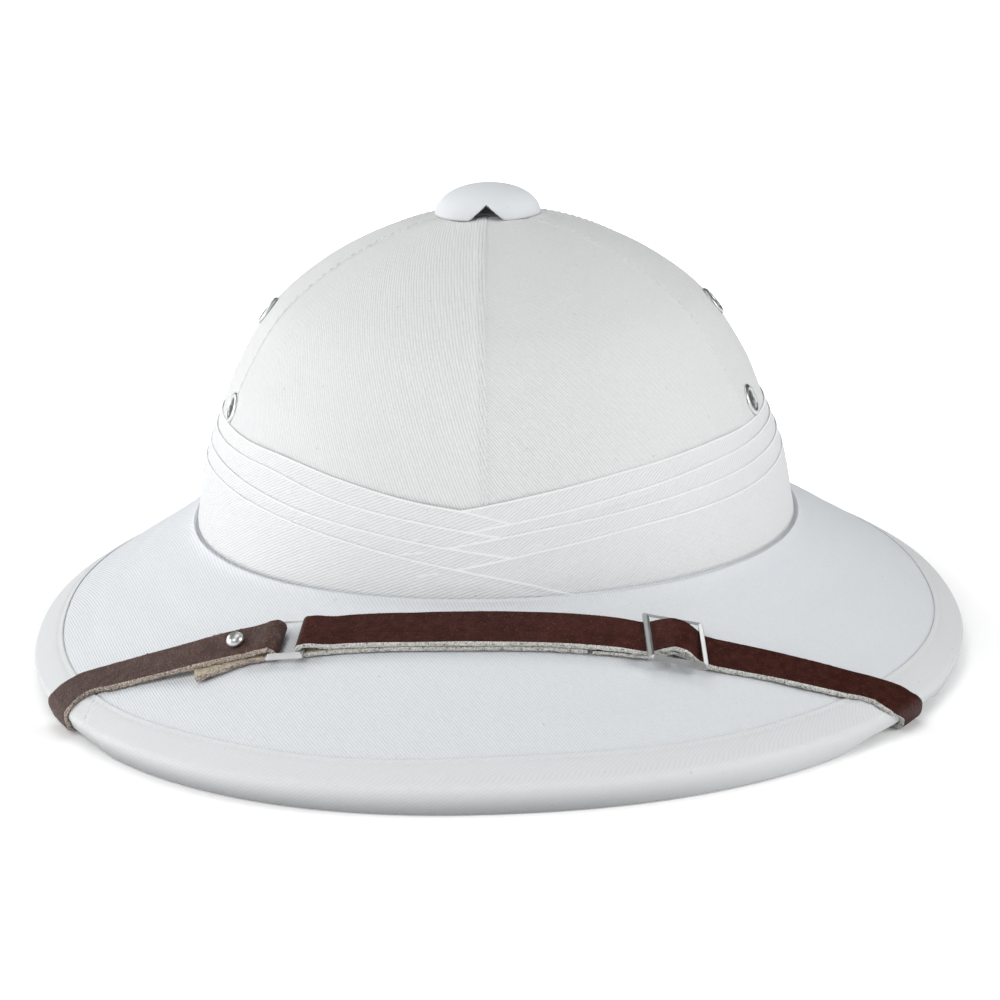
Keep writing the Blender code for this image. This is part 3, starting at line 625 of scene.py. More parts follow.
# %% Crown mesh
outer = np.array(outer)
inner = []
for height in heights[::-4]:
    turn = gore_columns(height)[0]
    inner.append(crown_point(turn, height) - crown_normal(turn, height) * CROWN_WALL)
feet = [share_row(column_turns, 0.15, 0.5 * MM), share_row(column_turns, 0.085, 0.5 * MM)]
feet = [row + np.array([0, 0, GAP]) for row in feet]
crown_rows = np.concatenate([outer, np.array(inner), np.array(feet)])
pad = len(crown_rows) + 1 - len(outer)
weave_left = np.concatenate([np.concatenate(weave_left), np.zeros((pad, len(column_turns), 2))])
weave_right = np.concatenate([np.concatenate(weave_right), np.zeros((pad, len(column_turns), 2))])
inside = np.arange(len(crown_rows)) >= len(outer)
layers = np.repeat(inside[:, None], len(column_turns), axis=1)
crown_mesh = outward(grid_mesh("crown_cloth", crown_rows, weave=(weave_left, weave_right), layers=layers))
lining_cloth = Finish("inner_cloth", Base_Color=(0.62, 0.61, 0.58), Roughness=0.9)
lining_cloth.drive(Normal=lining_cloth.bump(lining_cloth.noise(1500, 2), 0.1 * MM, 0.6))
crown_cloth = add_piece(
    "crown_cloth", crown_mesh, crown_twill, lining_cloth.material, nodes=["crown"], slot="white_twill"
)

# %% [markdown]
# ## Brim
# The brim's cloth is one piece of twill. A flat sheet that is laid on a cone has ribs that seem to turn as
# you go round, and you can see that in a photograph: almost level at the sides and steep in front. To get
# it right, the brim is unrolled in a sum, step by step, and the flat place of each point is its address.

# %% The brim's cloth unrolled
BRIM_TWILL = math.radians(-60.5)  # the ribs' direction on the unrolled cloth, below level at the front
BINDING_WIDTH, BINDING_STEP, BINDING_CLOTH = 9.2 * MM, 0.5 * MM, 0.7 * MM
FILLET = 1.6 * MM

brim_turns = np.linspace(-math.pi, math.pi, 481)
base = base_oval(brim_turns)
way = -brim_run(brim_turns)[0]
level_turn = np.unwrap(np.arctan2(way[:, 0], -way[:, 1]))
steep = np.cos(np.arctan(brim_slope(brim_turns)))
flat_turn = np.concatenate([[0], np.cumsum(np.diff(level_turn) * (steep[1:] + steep[:-1]) / 2)])
flat_turn -= np.interp(0, brim_turns, flat_turn)
rim_step = np.linalg.norm(np.diff(base, axis=0), axis=1)
heading = (flat_turn[1:] + flat_turn[:-1]) / 2
flat_base = np.concatenate(
    [[[0, 0]], np.cumsum(rim_step[:, None] * np.stack([np.cos(heading), np.sin(heading)], -1), axis=0)]
)
flat_out = np.stack([np.sin(flat_turn), -np.cos(flat_turn)], -1)


def brim_address(distance_out):
    """The unrolled place of the brim's points at distances outward from the base oval, in ribs."""
    flat = flat_base + flat_out * distance_out[:, None]
    rib_way = np.array([math.cos(BRIM_TWILL), math.sin(BRIM_TWILL)])
    across = np.array([-rib_way[1], rib_way[0]])
    return np.stack([flat @ across, flat @ rib_way], -1) / RIB


print("laid flat, the brim's cloth is", round(math.degrees(np.ptp(flat_turn))), "degrees of a ring")

# %% Brim mesh
run = brim_run(brim_turns)[1]
long_slope = np.hypot(1, brim_slope(brim_turns))
NEAR_FOOT = [-5, -2, -0.5, 0, 0.3, 0.9, 1.6, 2.6, 4.0]  # millimetres out from the foot of the crown
EVEN_ROWS = 24  # from there to the tape
tape_wave = ripple(brim_turns, 0, 0.35 * MM, seed=21, slowest=5)  # how the tape's inner edge wanders
rows, addresses = [], []
for number in range(len(NEAR_FOOT) + EVEN_ROWS):
    share, inward = 0, run - NEAR_FOOT[min(number, len(NEAR_FOOT) - 1)] * MM
    if number >= len(NEAR_FOOT):
        parts = EVEN_ROWS + 1
        share = (number - len(NEAR_FOOT) + 1) / parts
        inward = between(run - 4 * MM, BINDING_WIDTH + 2.5 * MM, share + 1 / parts - share / parts)
    out = (run - inward) * long_slope
    climb = FILLET * np.exp(-np.maximum(out, 0) / (1.1 * MM)) * (out > -0.3 * MM)
    wave = ripple(brim_turns, share * 0.3, 0.14 * MM, seed=9, slowest=2)
    wave = wave * ease(share * 5) * ease((1 - share) * 6)
    lifted = slope_row(brim_turns, inward, BINDING_STEP * 0.6) + brim_normal(brim_turns) * wave[:, None]
    lifted[:, 2] += climb
    rows.append(lifted)
    addresses.append(brim_address(out))
# The sewn tape presses a little valley into the cloth: distance past the tape's edge, and how deep.
for past_tape, pressed in ((1.4, 0.01), (0.75, 0.04), (0.35, 0.12), (0.05, 0.16), (-0.4, 0.16), (-1.6, 0.2)):
    inward = BINDING_WIDTH + tape_wave + past_tape * MM
    rows.append(slope_row(brim_turns, inward, BINDING_STEP * 0.6 + pressed * MM))
    addresses.append(brim_address((run - inward) * long_slope))
addresses += [addresses[-1]] * 2  # the two rows round the lip are never seen
under_tape = BINDING_CLOTH + GAP
inner_face = under_tape + BRIM_WALL - BINDING_STEP
rows.append(slope_row(brim_turns, BINDING_WIDTH - 0.6 * MM, under_tape + 0.1 * MM))
rows.append(lip_corner(brim_turns, under_tape + 0.4 * MM))
for share in (-0.86, -0.6, -0.3, 0, 0.15):
    rows.append(share_row(brim_turns, share, inner_face))
    addresses.append(brim_address(-share * run * long_slope))
addresses.append(addresses[0])
brim_mesh = outward(grid_mesh("brim_cloth", np.array(rows)[:, :-1], weave=np.array(addresses)))
brim_cloth = add_piece("brim_cloth", brim_mesh, brim_twill, nodes=["brim"], slot="white_twill")

# %% [markdown]
# ## Tape on the rim
# The raw edge of the brim is covered by a tape: it is folded over the rim and sewn on near its inner edge.
# Its section is drawn once, as a closed loop of points from the inner edge over the top, round the lip and
# back up inside, and is carried round the hat. The seam pulls the edge down a little at every stitch, so
# there are enough columns to show that. Where the tape's end is lapped over its beginning there is a low
# step with a groove beside it, and the cloth's material paints the cut end there as a thin grey line of
# painted shade in that groove.

# %% Sizes of the tape
PRESS_HEIGHT = 2.5 * MM  # the straps press the rim's foot up where they pass under it
PRESS_FULL, PRESS_END = math.radians(6), math.radians(13)
STRAP_CROSSINGS = np.radians([-64.3, 49.0])
TAPE_STITCH = 3.1 * MM
TAPE_SEAM = 1.5 * MM  # the stitches lie this far from the tape's inner edge
TAPE_TWILL = math.radians(-32)
TAPE_JOINT = math.radians(-57.7)  # the tape's end is lapped over its beginning here
TAPE_LAP = 0.28 * MM
TAPE_THREAD = 0.88  # the tape's rib in millimetres
TAPE_INSIDE = 2 * (BINDING_CLOTH + GAP) + BRIM_WALL - BINDING_STEP  # from its outer face to its inner one
print("tape and brim are", round(TAPE_INSIDE / MM, 1), "mm thick together")


# %% Places on the rim
def rim_lift(turn):
    lift = np.zeros_like(turn)
    for crossing in STRAP_CROSSINGS:
        away = turn_between(turn, crossing)
        lift = np.maximum(lift, PRESS_HEIGHT * ease((PRESS_END - away) / (PRESS_END - PRESS_FULL)))
    return lift


def lip_foot(turn, depth, height):
    height = height + rim_lift(turn)
    lean = lip_lean(turn)
    return brim_point(turn, LIP_TUCK - height * lean + depth * np.hypot(1, lean), height)


def lip_bend(turn, depth, radius, steps):
    """Rows that round the lip's corner, from the top to the face of the lip."""
    start, corner = lip_corner(turn, depth, along_top=radius), lip_corner(turn, depth)
    end = lip_corner(turn, depth, down_lip=radius)
    return [(1 - q) ** 2 * start + 2 * q * (1 - q) * corner + q**2 * end for q in np.linspace(0, 1, steps)]


tape_turns = np.linspace(-math.pi, math.pi, 1081)
near_joint = TAPE_JOINT + np.radians(np.arange(-2.4, 3.01, 0.05))
tape_turns = np.sort(np.concatenate([tape_turns, near_joint]))
rim = brim_edge(tape_turns)
rim_way = running_length(rim)
stitch_count = round(rim_way[-1] / TAPE_STITCH)
stitch_phase = 2 * math.pi * stitch_count * rim_way / rim_way[-1]
pull = 0.5 + 0.5 * np.cos(stitch_phase)  # 1 at a stitch
edge_wave = ripple(tape_turns, 0, 0.35 * MM, seed=21, slowest=5)
joint_way = np.interp(TAPE_JOINT, tape_turns, rim_way)
print("the rim is", round(rim_way[-1] / MM), "mm round, which takes", stitch_count, "stitches")


# %% The tape's outer face
def joint_lean(over, bend):
    """How far along the rim the cut end lies, at a distance over the tape. bend is 1 at the lip."""
    return over * 0.8 - 5.4 + bend * 5.0


def tape_lap(over):
    """The step where the tape's end lies over its beginning, and the groove beside it."""
    past_joint = rim_way - joint_way - joint_lean(over, ease((over - 5.6) / 3.4)) * MM
    lap = TAPE_LAP * ease(past_joint / (0.6 * MM)) * np.exp(-np.maximum(past_joint, 0) / (9 * MM))
    return lap - 0.08 * MM * np.exp(-(((past_joint + 0.1 * MM) / (0.3 * MM)) ** 2))


def joint_shade_line(across, along):
    """Painted shade for the material: a thin dark line at the cut end, in the groove beside the step, at the
    same place in the weave.
    """
    way = along * math.cos(TAPE_TWILL) - across * math.sin(TAPE_TWILL)
    over = (along * math.sin(TAPE_TWILL) + across * math.cos(TAPE_TWILL)) * TAPE_THREAD
    past_joint = way * TAPE_THREAD - float(joint_way / MM) - joint_lean(over, over.over(5.6, 9.0))
    return (abs(past_joint + 0.1) * -1).over(-0.3, -0.08) * 0.6


def tape_top(inward):
    """The tape's outer face at a distance in from the brim's edge, with its puckers and its lap."""
    from_edge = BINDING_WIDTH - inward
    seam = np.exp(-(((from_edge - TAPE_SEAM) / (0.5 * MM)) ** 2))
    sunk = (0.10 + 0.12 * pull) * MM * seam
    puffed = 0.16 * MM * ease(from_edge / (3 * MM)) * ease(inward / (2.5 * MM))
    pucker = 0.06 * MM * np.cos(stitch_phase) * math.exp(-from_edge / (2.2 * MM))
    return puffed - sunk - pucker + tape_lap(from_edge / MM)


def tape_row(inward, depth=0.0):
    wavy = inward + edge_wave * ease((inward - 3 * MM) / (5 * MM))
    return slope_row(tape_turns, wavy, depth) + brim_normal(tape_turns) * tape_top(inward)[:, None]


print("between its seam and the lip the tape is puffed up by", round(tape_top(4 * MM).mean() / MM, 2), "mm")


# %% The whole tape
def tape_section():
    """The rows of the tape, each with its distance over the cloth, for the weave."""
    rows = [(slope_row(tape_turns, BINDING_WIDTH + edge_wave, 0.62 * MM), 0)]
    rows += [(slope_row(tape_turns, BINDING_WIDTH + edge_wave + 0.12 * MM, 0.35 * MM), 0.3)]
    turned_down = ((0.02, 0.13), (0.25, 0.02))
    rows += [(tape_row(BINDING_WIDTH - back * MM, sunk * MM), back) for back, sunk in turned_down]
    rows += [(tape_row(BINDING_WIDTH - back * MM), back) for back in (0.6, 1.1, 1.5, 1.9, 2.6, 3.6, 4.6, 5.6)]
    for step in range(7):
        lapped = lip_bend(tape_turns, -0.12 * MM - tape_lap(6.6 + 0.5 * step), 2 * MM, 7)
        rows.append((lapped[step], 6.6 + 0.5 * step))
    lip = lip_corner(tape_turns, -0.1 * MM - tape_lap(10), down_lip=2.4 * MM)
    foot = lip_foot(tape_turns, -0.05 * MM - tape_lap(12), 0.9 * MM)
    rows += [(between(lip, foot, share), 10 + 5 * share) for share in (0, 0.25, 0.5, 0.75, 1)]
    rows += [(lip_foot(tape_turns, 0.08 * MM, 0.3 * MM), 15.6), (lip_foot(tape_turns, 0.8 * MM, 0), 16.3)]
    rows += [(lip_foot(tape_turns, TAPE_INSIDE - 0.8 * MM, 0), 18)]
    rows += [(lip_foot(tape_turns, TAPE_INSIDE, 0.7 * MM), 19), (lip_corner(tape_turns, TAPE_INSIDE), 25)]
    inner_end = BINDING_WIDTH + 3 * MM
    rows += [(slope_row(tape_turns, inner_end, TAPE_INSIDE), 33)]
    under = TAPE_INSIDE - BINDING_CLOTH
    rows += [(slope_row(tape_turns, inner_end, under), 33.5), (lip_corner(tape_turns, under), 40)]
    rows += [(lip_foot(tape_turns, depth, BINDING_CLOTH), 48) for depth in (under, BINDING_CLOTH)]
    rows += [(lip_corner(tape_turns, BINDING_CLOTH, 1.6 * MM, 1.0 * MM), 54)]
    return rows


def woven(along, over, lean, rib):
    """The weave address of a strip, along it and over it, whose ribs lean from the way it runs."""
    across_ribs = -along * math.sin(lean) - over * math.cos(lean)
    return np.stack([across_ribs, along * math.cos(lean) - over * math.sin(lean)], -1) / rib


tape_rows, over_tape = zip(*tape_section())
over_tape = -np.array(over_tape + (60,)) * MM
tape_address = woven(rim_way[None], over_tape[:, None], TAPE_TWILL, TAPE_THREAD * MM)
tape_mesh = outward(grid_mesh("brim_tape", np.array(tape_rows)[:, :-1], weave=tape_address))
# The tape's lip is painted darker below 9 mm as painted shade, and its joint gets a thin line of painted
# shade.
tape_cloth = twill(
    "white_tape", (0.92, 0.94, 0.955), groove=0.9, relief=0.05 * MM, foot=9 * MM, line=joint_shade_line
)
brim_tape = add_piece("brim_tape", tape_mesh, tape_cloth, nodes=["brim_binding"], slot="white_twill")

# %% [markdown]
# ## Pleated band
# The band is called a pugree: a long scarf, pressed into pleats and wound round the crown. Each pleat is
# one strip that starts in front on the right, goes all the way round and comes back from the left to cross
# over the others. Painted lines wouldn't catch the light like folds, so each strip here is a thin closed
# body with a rounded fold along its top. Its table holds the height of that fold at a few turns.

# %% Pleats
PLEAT_TURNS = np.array([-28, -8, 8, 26, 50, 80, 180, 280, 305, 326, 343, 352, 362, 375])
PLEATS = (  # the height of each pleat's fold in millimetres, at those turns
    (62.5, 67.5, 71.5, 74.8, 76.5, 76.4, 76.3, 76.8, 76.4, 73.0, 68.9, 66.9, 62.9, 57.0),
    (56.5, 61.6, 65.6, 69.2, 71.7, 72.2, 72.3, 72.5, 71.9, 67.5, 64.0, 61.8, 58.9, 53.5),
    (52.5, 58.4, 62.4, 64.8, 66.6, 67.3, 67.4, 67.6, 65.2, 61.7, 58.5, 56.6, 54.0, 49.0),
    (46.0, 52.0, 56.9, 59.9, 60.9, 62.3, 62.8, 63.0, 61.2, 57.7, 53.6, 50.9, 47.5, 41.3),
)
PLEAT_LEVEL = 0.35 * MM  # how far the first pleat's face lies off the crown
PLEAT_RISE = 0.3 * MM  # each next pleat lies this much further out
PLEAT_TWILL = math.radians(29)
PLEAT_TUCK = 3.0 * MM  # how far a pleat runs on under the next one
PLEAT_CLOTH = 0.27 * MM
PLEAT_SWELL = 1.0 * MM  # the whole band swells out this much below its top edge
FOLD_BEAD = 0.13 * MM  # the fold is a little plumper than the cloth below it

pleat_turns = np.radians(np.arange(-28, 375.01, 0.75))
print(len(PLEATS), "pleats, each with", len(pleat_turns), "columns")


# %% One pleat
def pleat_height(number, turns):
    tidy = smooth_table(np.radians(PLEAT_TURNS), np.array(PLEATS[number]) * MM, turns)
    return tidy + ripple(turns, 0, 0.16 * MM, seed=30 + number, slowest=6)


def pleat_strip(number):
    """One pleat as a closed thin body: down its face from the fold, and up again behind."""
    top = pleat_height(number, pleat_turns)
    share = ease((np.degrees(pleat_turns) - 30) / 120)
    level = PLEAT_LEVEL + PLEAT_RISE * (number + 0.5 * share)
    if number + 1 < len(PLEATS):
        depth = top - pleat_height(number + 1, pleat_turns) + PLEAT_TUCK
    else:
        depth = top - (share_row(pleat_turns, 0.03, BINDING_STEP)[:, 2] + 0.15 * MM)
        depth = np.maximum(depth, 0.8 * MM)
    edge = crown_point(pleat_turns, top, level)
    along = running_length(edge)
    bead = FOLD_BEAD + 0.05 * MM * ripple(pleat_turns, 0, 1.0, seed=50 + number, slowest=11)
    radius = (PLEAT_CLOTH + bead) / 2
    rows = []
    for angle in np.radians([165, 135, 110, 90, 65, 40, 15]):
        rows.append((radius * (1 - math.sin(angle)), level + bead - radius + radius * math.cos(angle)))
    for down in (0.5, 0.8, 1.2, 1.7, 2.4):
        swell = bead * math.exp(-(((down - 0.3) / 1.0) ** 2))
        rows.append((np.full_like(top, down * MM), level + swell))
    for share in (0.35, 0.5, 0.65, 0.8, 0.92):
        down = np.maximum(depth * share, 2.5 * MM)
        rows.append((down, level + ripple(pleat_turns, share, 0.09 * MM, seed=70 + number)))
    rows += [(depth - 0.3 * MM, level - 0.02 * MM), (depth, level - 0.2 * MM)]
    rows += [(depth, level - PLEAT_CLOTH), (depth * 0.5, level - PLEAT_CLOTH)]
    points = []
    for down, out in rows:
        height = top - np.minimum(down, depth)
        swollen = out + PLEAT_SWELL * ease((76 * MM - height) / (16 * MM))
        points.append(crown_point(pleat_turns, height, swollen))
    points = np.array(points)
    down = np.array([np.broadcast_to(down, top.shape) for down, _ in rows] + [np.zeros_like(top)])
    layers = np.zeros(points.shape[:2], int)
    layers[1:7] = 1  # the fold itself, pressed smooth and painted lighter: a painted highlight along the fold
    print(f"pleat {number + 1}: {along[-1] / MM:.0f} mm long, {depth.mean() / MM:.1f} mm deep")
    weave = woven(along, down, PLEAT_TWILL, RIB)
    mesh = grid_mesh(f"pleat_{number}", points, around=False, weave=weave, layers=layers)
    return capped(mesh, split=bmesh.ops.triangulate)


# %% Pleated band
folds_mesh = joined("pugree_folds", [pleat_strip(number) for number in range(len(PLEATS))])
pugree_folds = add_piece(
    "pugree_folds", folds_mesh, band_cloth, fold_highlight_twill, nodes=["pugree"], slot="white_twill_band"
)

# %% [markdown]
# ## Vent button
# A hollow button covers the vent. Air leaves under it through three low arches. The dome is again a grid:
# its lowest row follows the edge, which rises in a soft pointed arch at each notch, and the rows above
# share out the rest of the way to the top.

# %% Button
CAP_RADIUS, CAP_HEIGHT, CAP_WALL = 16.2 * MM, 9.2 * MM, 1.4 * MM
CAP_FOOT = CROWN_TOP - 1.3 * MM
CAP_MIDDLE = np.array([0, -CROWN_FORWARD - CROWN_LEAN, CAP_FOOT])
NOTCH_TURNS = SEAM_TURNS[0] + np.radians([0, 120, 240])
NOTCH_HALF, NOTCH_HEIGHT = 5.7 * MM, 4.7 * MM

cap_turns = np.linspace(0, 2 * math.pi, 241)[:-1] + SEAM_TURNS[0]
away = turn_between(cap_turns[:, None], NOTCH_TURNS).min(axis=1) * CAP_RADIUS
arch = np.clip(1 - (away / NOTCH_HALF) ** 1.2, 0, 1) ** 1.1
cap_edge = NOTCH_HEIGHT * arch


def cap_row(share, radius, tall, roll=0.0):
    """A row of the dome, a share of the way from its edge to its top."""
    start = np.arcsin(np.clip((cap_edge + roll) / CAP_HEIGHT, 0, 0.999))
    lift = start + (math.pi / 2 - start) * share
    wide = radius * np.cos(lift) ** 0.92
    row = np.stack([wide * np.sin(cap_turns), -wide * np.cos(cap_turns), tall * np.sin(lift)], -1)
    return row + CAP_MIDDLE


cap_shares = np.linspace(0, 0.995, 26)
cap_rows = [cap_row(share, CAP_RADIUS, CAP_HEIGHT, 0.35 * MM) for share in cap_shares]
lower = cap_row(0, CAP_RADIUS - 0.25 * MM, CAP_HEIGHT, 0.08 * MM)
lowest = cap_row(0, CAP_RADIUS - 0.7 * MM, CAP_HEIGHT, 0.0)
inner_cap = (CAP_RADIUS - CAP_WALL, CAP_HEIGHT - CAP_WALL, 0.2 * MM)
inner_rows = [cap_row(share, *inner_cap) for share in (0, 0.1, 0.3, 0.5, 0.7, 0.9, 0.995)]
cap_points = np.array(inner_rows[::-1] + [lowest, lower] + cap_rows)
cap_down = np.concatenate([np.linspace(40, 20, len(inner_rows)), [19.4, 19], 18.7 - 17.5 * cap_shares]) * MM
whole_turn = np.append(cap_turns, cap_turns[0] + 2 * math.pi)
flat_x, flat_y = cap_down[:, None] * np.sin(whole_turn), -cap_down[:, None] * np.cos(whole_turn)
cap_address = np.stack([flat_x * 0.8 + flat_y * 0.6, flat_y * 0.8 - flat_x * 0.6], -1) / RIB
cap_mesh = grid_mesh("vent_button", cap_points, ring=False, weave=cap_address)
cap_mesh = capped(cap_mesh, split=bmesh.ops.poke)
cap_mesh.shade_smooth()
add_piece("vent_button", cap_mesh, cap_cloth, nodes=["vent_cap"], slot="white_twill")

# %% [markdown]
# ## Leather strap
# The chin strap is laid over the brim out of the way. It is a flat ribbon, so it is made by carrying one
# section along a path. The section has a grain side, a flesh side and two raw cut edges, and each gets a
# finish of its own. First comes the path. On the brim its middle line is a short table seen from above,
# with the height at which it lies: on the cloth, on another layer, or over a bar.

# %% Where the straps lie
STRAP_WIDTH, STRAP_THICK = 12 * MM, 1.8 * MM
LAID, DOUBLED, OVER_BAR = 1.05, 2.97, 4.55  # lift of a strap's middle: on cloth, on leather, over a bar
FOLD_RADIUS = (OVER_BAR - LAID) / 2 * MM
RIM_THICK = 1.4 * MM  # the leather is stretched thinner where it is pulled round the rim

# Each row is x, y and lift in millimetres. The tables run from the ring to the rim.
SHORT_TOP = (
    (-66.8, -109.0, OVER_BAR), (-68.4, -108.5, 4.4), (-71.0, -107.2, 3.6), (-74.5, -105.6, 3.02),
    (-80.0, -103.6, DOUBLED), (-86.0, -101.6, DOUBLED), (-92.0, -99.1, 2.57), (-98.0, -95.9, 1.97),
    (-104.0, -92.6, 1.55), (-110.0, -89.2, 1.2), (-113.5, -87.2, LAID),
)
SHORT_TAIL = (  # it flares outward to its cut end
    (-66.8, -109.0, LAID), (-73.4, -106.5, LAID), (-78.6, -105.5, LAID), (-83.6, -105.1, 1.15),
    (-89.8, -104.5, 1.35),
)
LONG_TOP = (
    (-57.0, -112.7, OVER_BAR), (-55.2, -113.2, 4.42), (-52.2, -114.1, 3.6), (-48.5, -115.1, DOUBLED),
    (-36.0, -118.9, DOUBLED), (-26.0, -121.5, DOUBLED), (-15.0, -123.4, DOUBLED), (-4.0, -124.6, DOUBLED),
    (7.0, -125.2, DOUBLED), (18.0, -125.3, DOUBLED), (28.0, -125.1, 2.85), (34.0, -125.0, 2.6),
    (36.8, -124.8, 3.1), (39.8, -124.4, 4.45), (42.8, -124.1, 5.42), (45.6, -124.0, 4.95),
    (48.4, -123.9, 3.2), (51.0, -123.9, 1.8), (53.4, -123.7, 1.2), (56.0, -123.5, LAID), (62.0, -122.8, LAID),
    (70.0, -121.6, LAID), (82.0, -119.6, LAID), (90.0, -118.0, LAID),
)
LONG_TAIL = tuple((x, y, LAID) for x, y, _ in LONG_TOP[:1] + LONG_TOP[3:9]) + ((19.6, -125.3, LAID),)
SLIDER_TAIL = (
    (20.6, -125.5, LAID), (28.0, -125.1, LAID), (33.0, -125.0, LAID), (36.8, -124.8, 1.6),
    (39.8, -124.4, 2.85), (42.8, -124.1, 3.75), (45.6, -124.0, 3.35), (48.2, -123.9, 1.9),
)
print("strap layers lie", LAID, "and", DOUBLED, "mm over the brim")


# %% From seen above to on the brim
def on_brim(x, y):
    """The turn and the level distance in from the edge of points seen from above."""
    turn = np.arctan2(x, -y)

    def beside(turn):
        offset, way = np.stack([x, y], -1) - brim_edge(turn)[..., :2], brim_run(turn)[0]
        return offset[..., 0] * way[..., 1] - offset[..., 1] * way[..., 0]

    for _ in range(12):
        slope = (beside(turn + 1e-5) - beside(turn - 1e-5)) / 2e-5
        turn = turn - beside(turn) / slope
    offset = np.stack([x, y], -1) - brim_edge(turn)[..., :2]
    return turn, (offset * brim_run(turn)[0]).sum(-1)


def lay(x, y, lift):
    turn, inward = on_brim(x, y)
    normal = brim_normal(turn)
    return slope_row(turn, inward) + normal * np.asarray(lift)[..., None], normal


def along_table(table, step=0.8 * MM):
    """Evenly spaced places along a table's middle line, with the way they run and their lift."""
    x, y, lift = (np.array(column) for column in zip(*table))
    length = np.concatenate([[0], np.cumsum(np.hypot(np.diff(x), np.diff(y)))]) * MM
    at = np.linspace(0, length[-1], int(length[-1] / step) + 2)
    places = np.stack([smooth_table(length, column * MM, at) for column in (x, y)], -1)
    ways = np.gradient(places, axis=0)
    return places, ways / np.linalg.norm(ways, axis=1)[:, None], smooth_table(length, lift * MM, at)


ACROSS = np.array([-1, -0.5, 0, 0.5, 1])  # from the crown's side of a strap to its outer side


def laid_stations(table):
    """A line of five points across the strap for each place along its table."""
    places, _, lifts = along_table(table)
    middles, normals = lay(places[:, 0], places[:, 1], np.zeros(len(places)))
    across = np.cross(normals, np.gradient(middles, axis=0))
    across *= (np.sign((across[:, :2] * places).sum(1)) / np.linalg.norm(across, axis=1))[:, None]
    spots = middles[:, None] + across[:, None] * (ACROSS * STRAP_WIDTH / 2)[None, :, None]
    return lay(spots[..., 0], spots[..., 1], lifts[:, None])[0]


def bar_place(table):
    """The middle of the ring's bar in a fold, with the ways out of the fold, off the brim and outward."""
    places, ways, _ = along_table(table)
    middle, normal = (row[0] for row in lay(places[:1, 0], places[:1, 1], [LAID * MM + FOLD_RADIUS]))
    ahead = np.append(-ways[0], 0)
    ahead -= normal * np.dot(ahead, normal)
    ahead /= np.linalg.norm(ahead)
    across = np.cross(normal, ahead)
    return middle, ahead, normal, across * np.sign(np.dot(across[:2], places[0]))


print("the long strap lies over", len(laid_stations(LONG_TOP)), "stations of the brim")


# %% Folds round the ring
def fold_stations(table):
    """The half turn round a bar of the ring, from the under layer to the top one."""
    middle, ahead, normal, across = bar_place(table)
    lines = across * (ACROSS * STRAP_WIDTH / 2)[:, None]
    angles = np.radians(np.arange(-75, 76, 15))[:, None, None]
    return middle + lines + FOLD_RADIUS * (ahead * np.cos(angles) + normal * np.sin(angles))


print("a fold's middle lies", LAID + FOLD_RADIUS / MM, "mm over the brim")

# %% Round the rim
# Near the rim a strap is known by its two edges, the outer one and the one on the crown's side.
# First the turn in degrees and the distance in from the rim in millimetres, for the left and the right strap.
RIM_APPROACH = {
    -1: (((-59.5, 9.0), (-64.2, 12.0)), ((-60.8, 6.1), (-65.7, 9.0))),
    1: (((42.4, 6.0), (44.9, 13.4)), ((43.3, 4.2), (47.3, 9.3))),
}
# Then the turns alone: 3.9 mm in from the rim, at the lip's corner, halfway down the lip and at its foot.
RIM_TURNS = {
    -1: ((-61.2, -61.1, -61.1, -61.8), (-67.0, -67.1, -66.6, -66.4)),
    1: ((43.5, 44.8, 47.6, 48.2), (49.8, 51.1, 52.3, 52.7)),
}


RIM_DROP = {-1: 0.2 * MM, 1: 1.1 * MM}  # how far below the pressed foot of the tape a strap passes


def rim_stations(side):
    """Onto the tape, round the lip from its top to its foot and a little way in under it."""
    toward_outer = (ACROSS + 1) / 2
    rows = []
    for outer, inner in np.array(RIM_APPROACH[side]):
        turns, inward = between(inner, outer, toward_outer[:, None]).T
        rows.append(slope_row(np.radians(turns), inward * MM, -LAID * MM))

    def line(way):
        outer, inner = (np.interp(way, range(4), edge) for edge in RIM_TURNS[side])
        return np.radians(between(inner, outer, toward_outer))

    off = -RIM_THICK / 2 - 0.15 * MM
    rows.append(slope_row(line(0), 3.9 * MM, off - 0.15 * MM))
    bend = 2.4 * MM
    rows += [lip_bend(line(way), off, bend, 5)[step] for step, way in enumerate((0.5, 0.75, 1.0, 1.3, 1.6))]
    turns = line(3)
    drop = RIM_DROP[side]
    for way, share in ((2.0, 0.4), (2.6, 0.8)):
        rows.append(between(lip_bend(line(way), off, bend, 5)[-1], lip_foot(line(way), off, -drop), share))
    low, within = -drop - RIM_THICK / 2 + 0.1 * MM, TAPE_INSIDE - off
    rows += [lip_foot(turns, between(off, within, share), low) for share in (0.25, 0.5, 0.75)]
    rows += [lip_foot(turns, within, 1.2 * MM), lip_foot(turns, within, 3.0 * MM)]
    return np.array(rows)


print("rows round the rim:", len(rim_stations(1)))

# %% Out of sight
UNDER_BRIM = ((0.3, 68.0), (0.65, 73.5), (1.0, 79.5))  # share of the way in, and turn
# On the wall: height, turn and distance off it
WALL_ROWS = ((46.0, 82.0, 1.8), (53.0, 85.0, 0.9), (61.0, 88.0, 0.6))


def hidden_stations(side):
    """Up the underside of the brim, then against the crown's inside, climbing aslant."""
    lean = -side * math.radians(3.2) * ACROSS
    under = TAPE_INSIDE + GAP + STRAP_THICK / 2
    rows = []
    for share, turn in UNDER_BRIM:
        turns = side * math.radians(turn) + lean
        rows.append(slope_row(turns, brim_run(turns)[1] * 1.15 * share, under))
    for height, turn, away in WALL_ROWS:
        turns = side * math.radians(turn) + lean
        levels = (height + 2.2 * ACROSS) * MM
        inward = CROWN_WALL + away * MM + STRAP_THICK / 2
        rows.append(crown_point(turns, levels) - crown_normal(turns, levels) * inward)
    return np.array(rows)


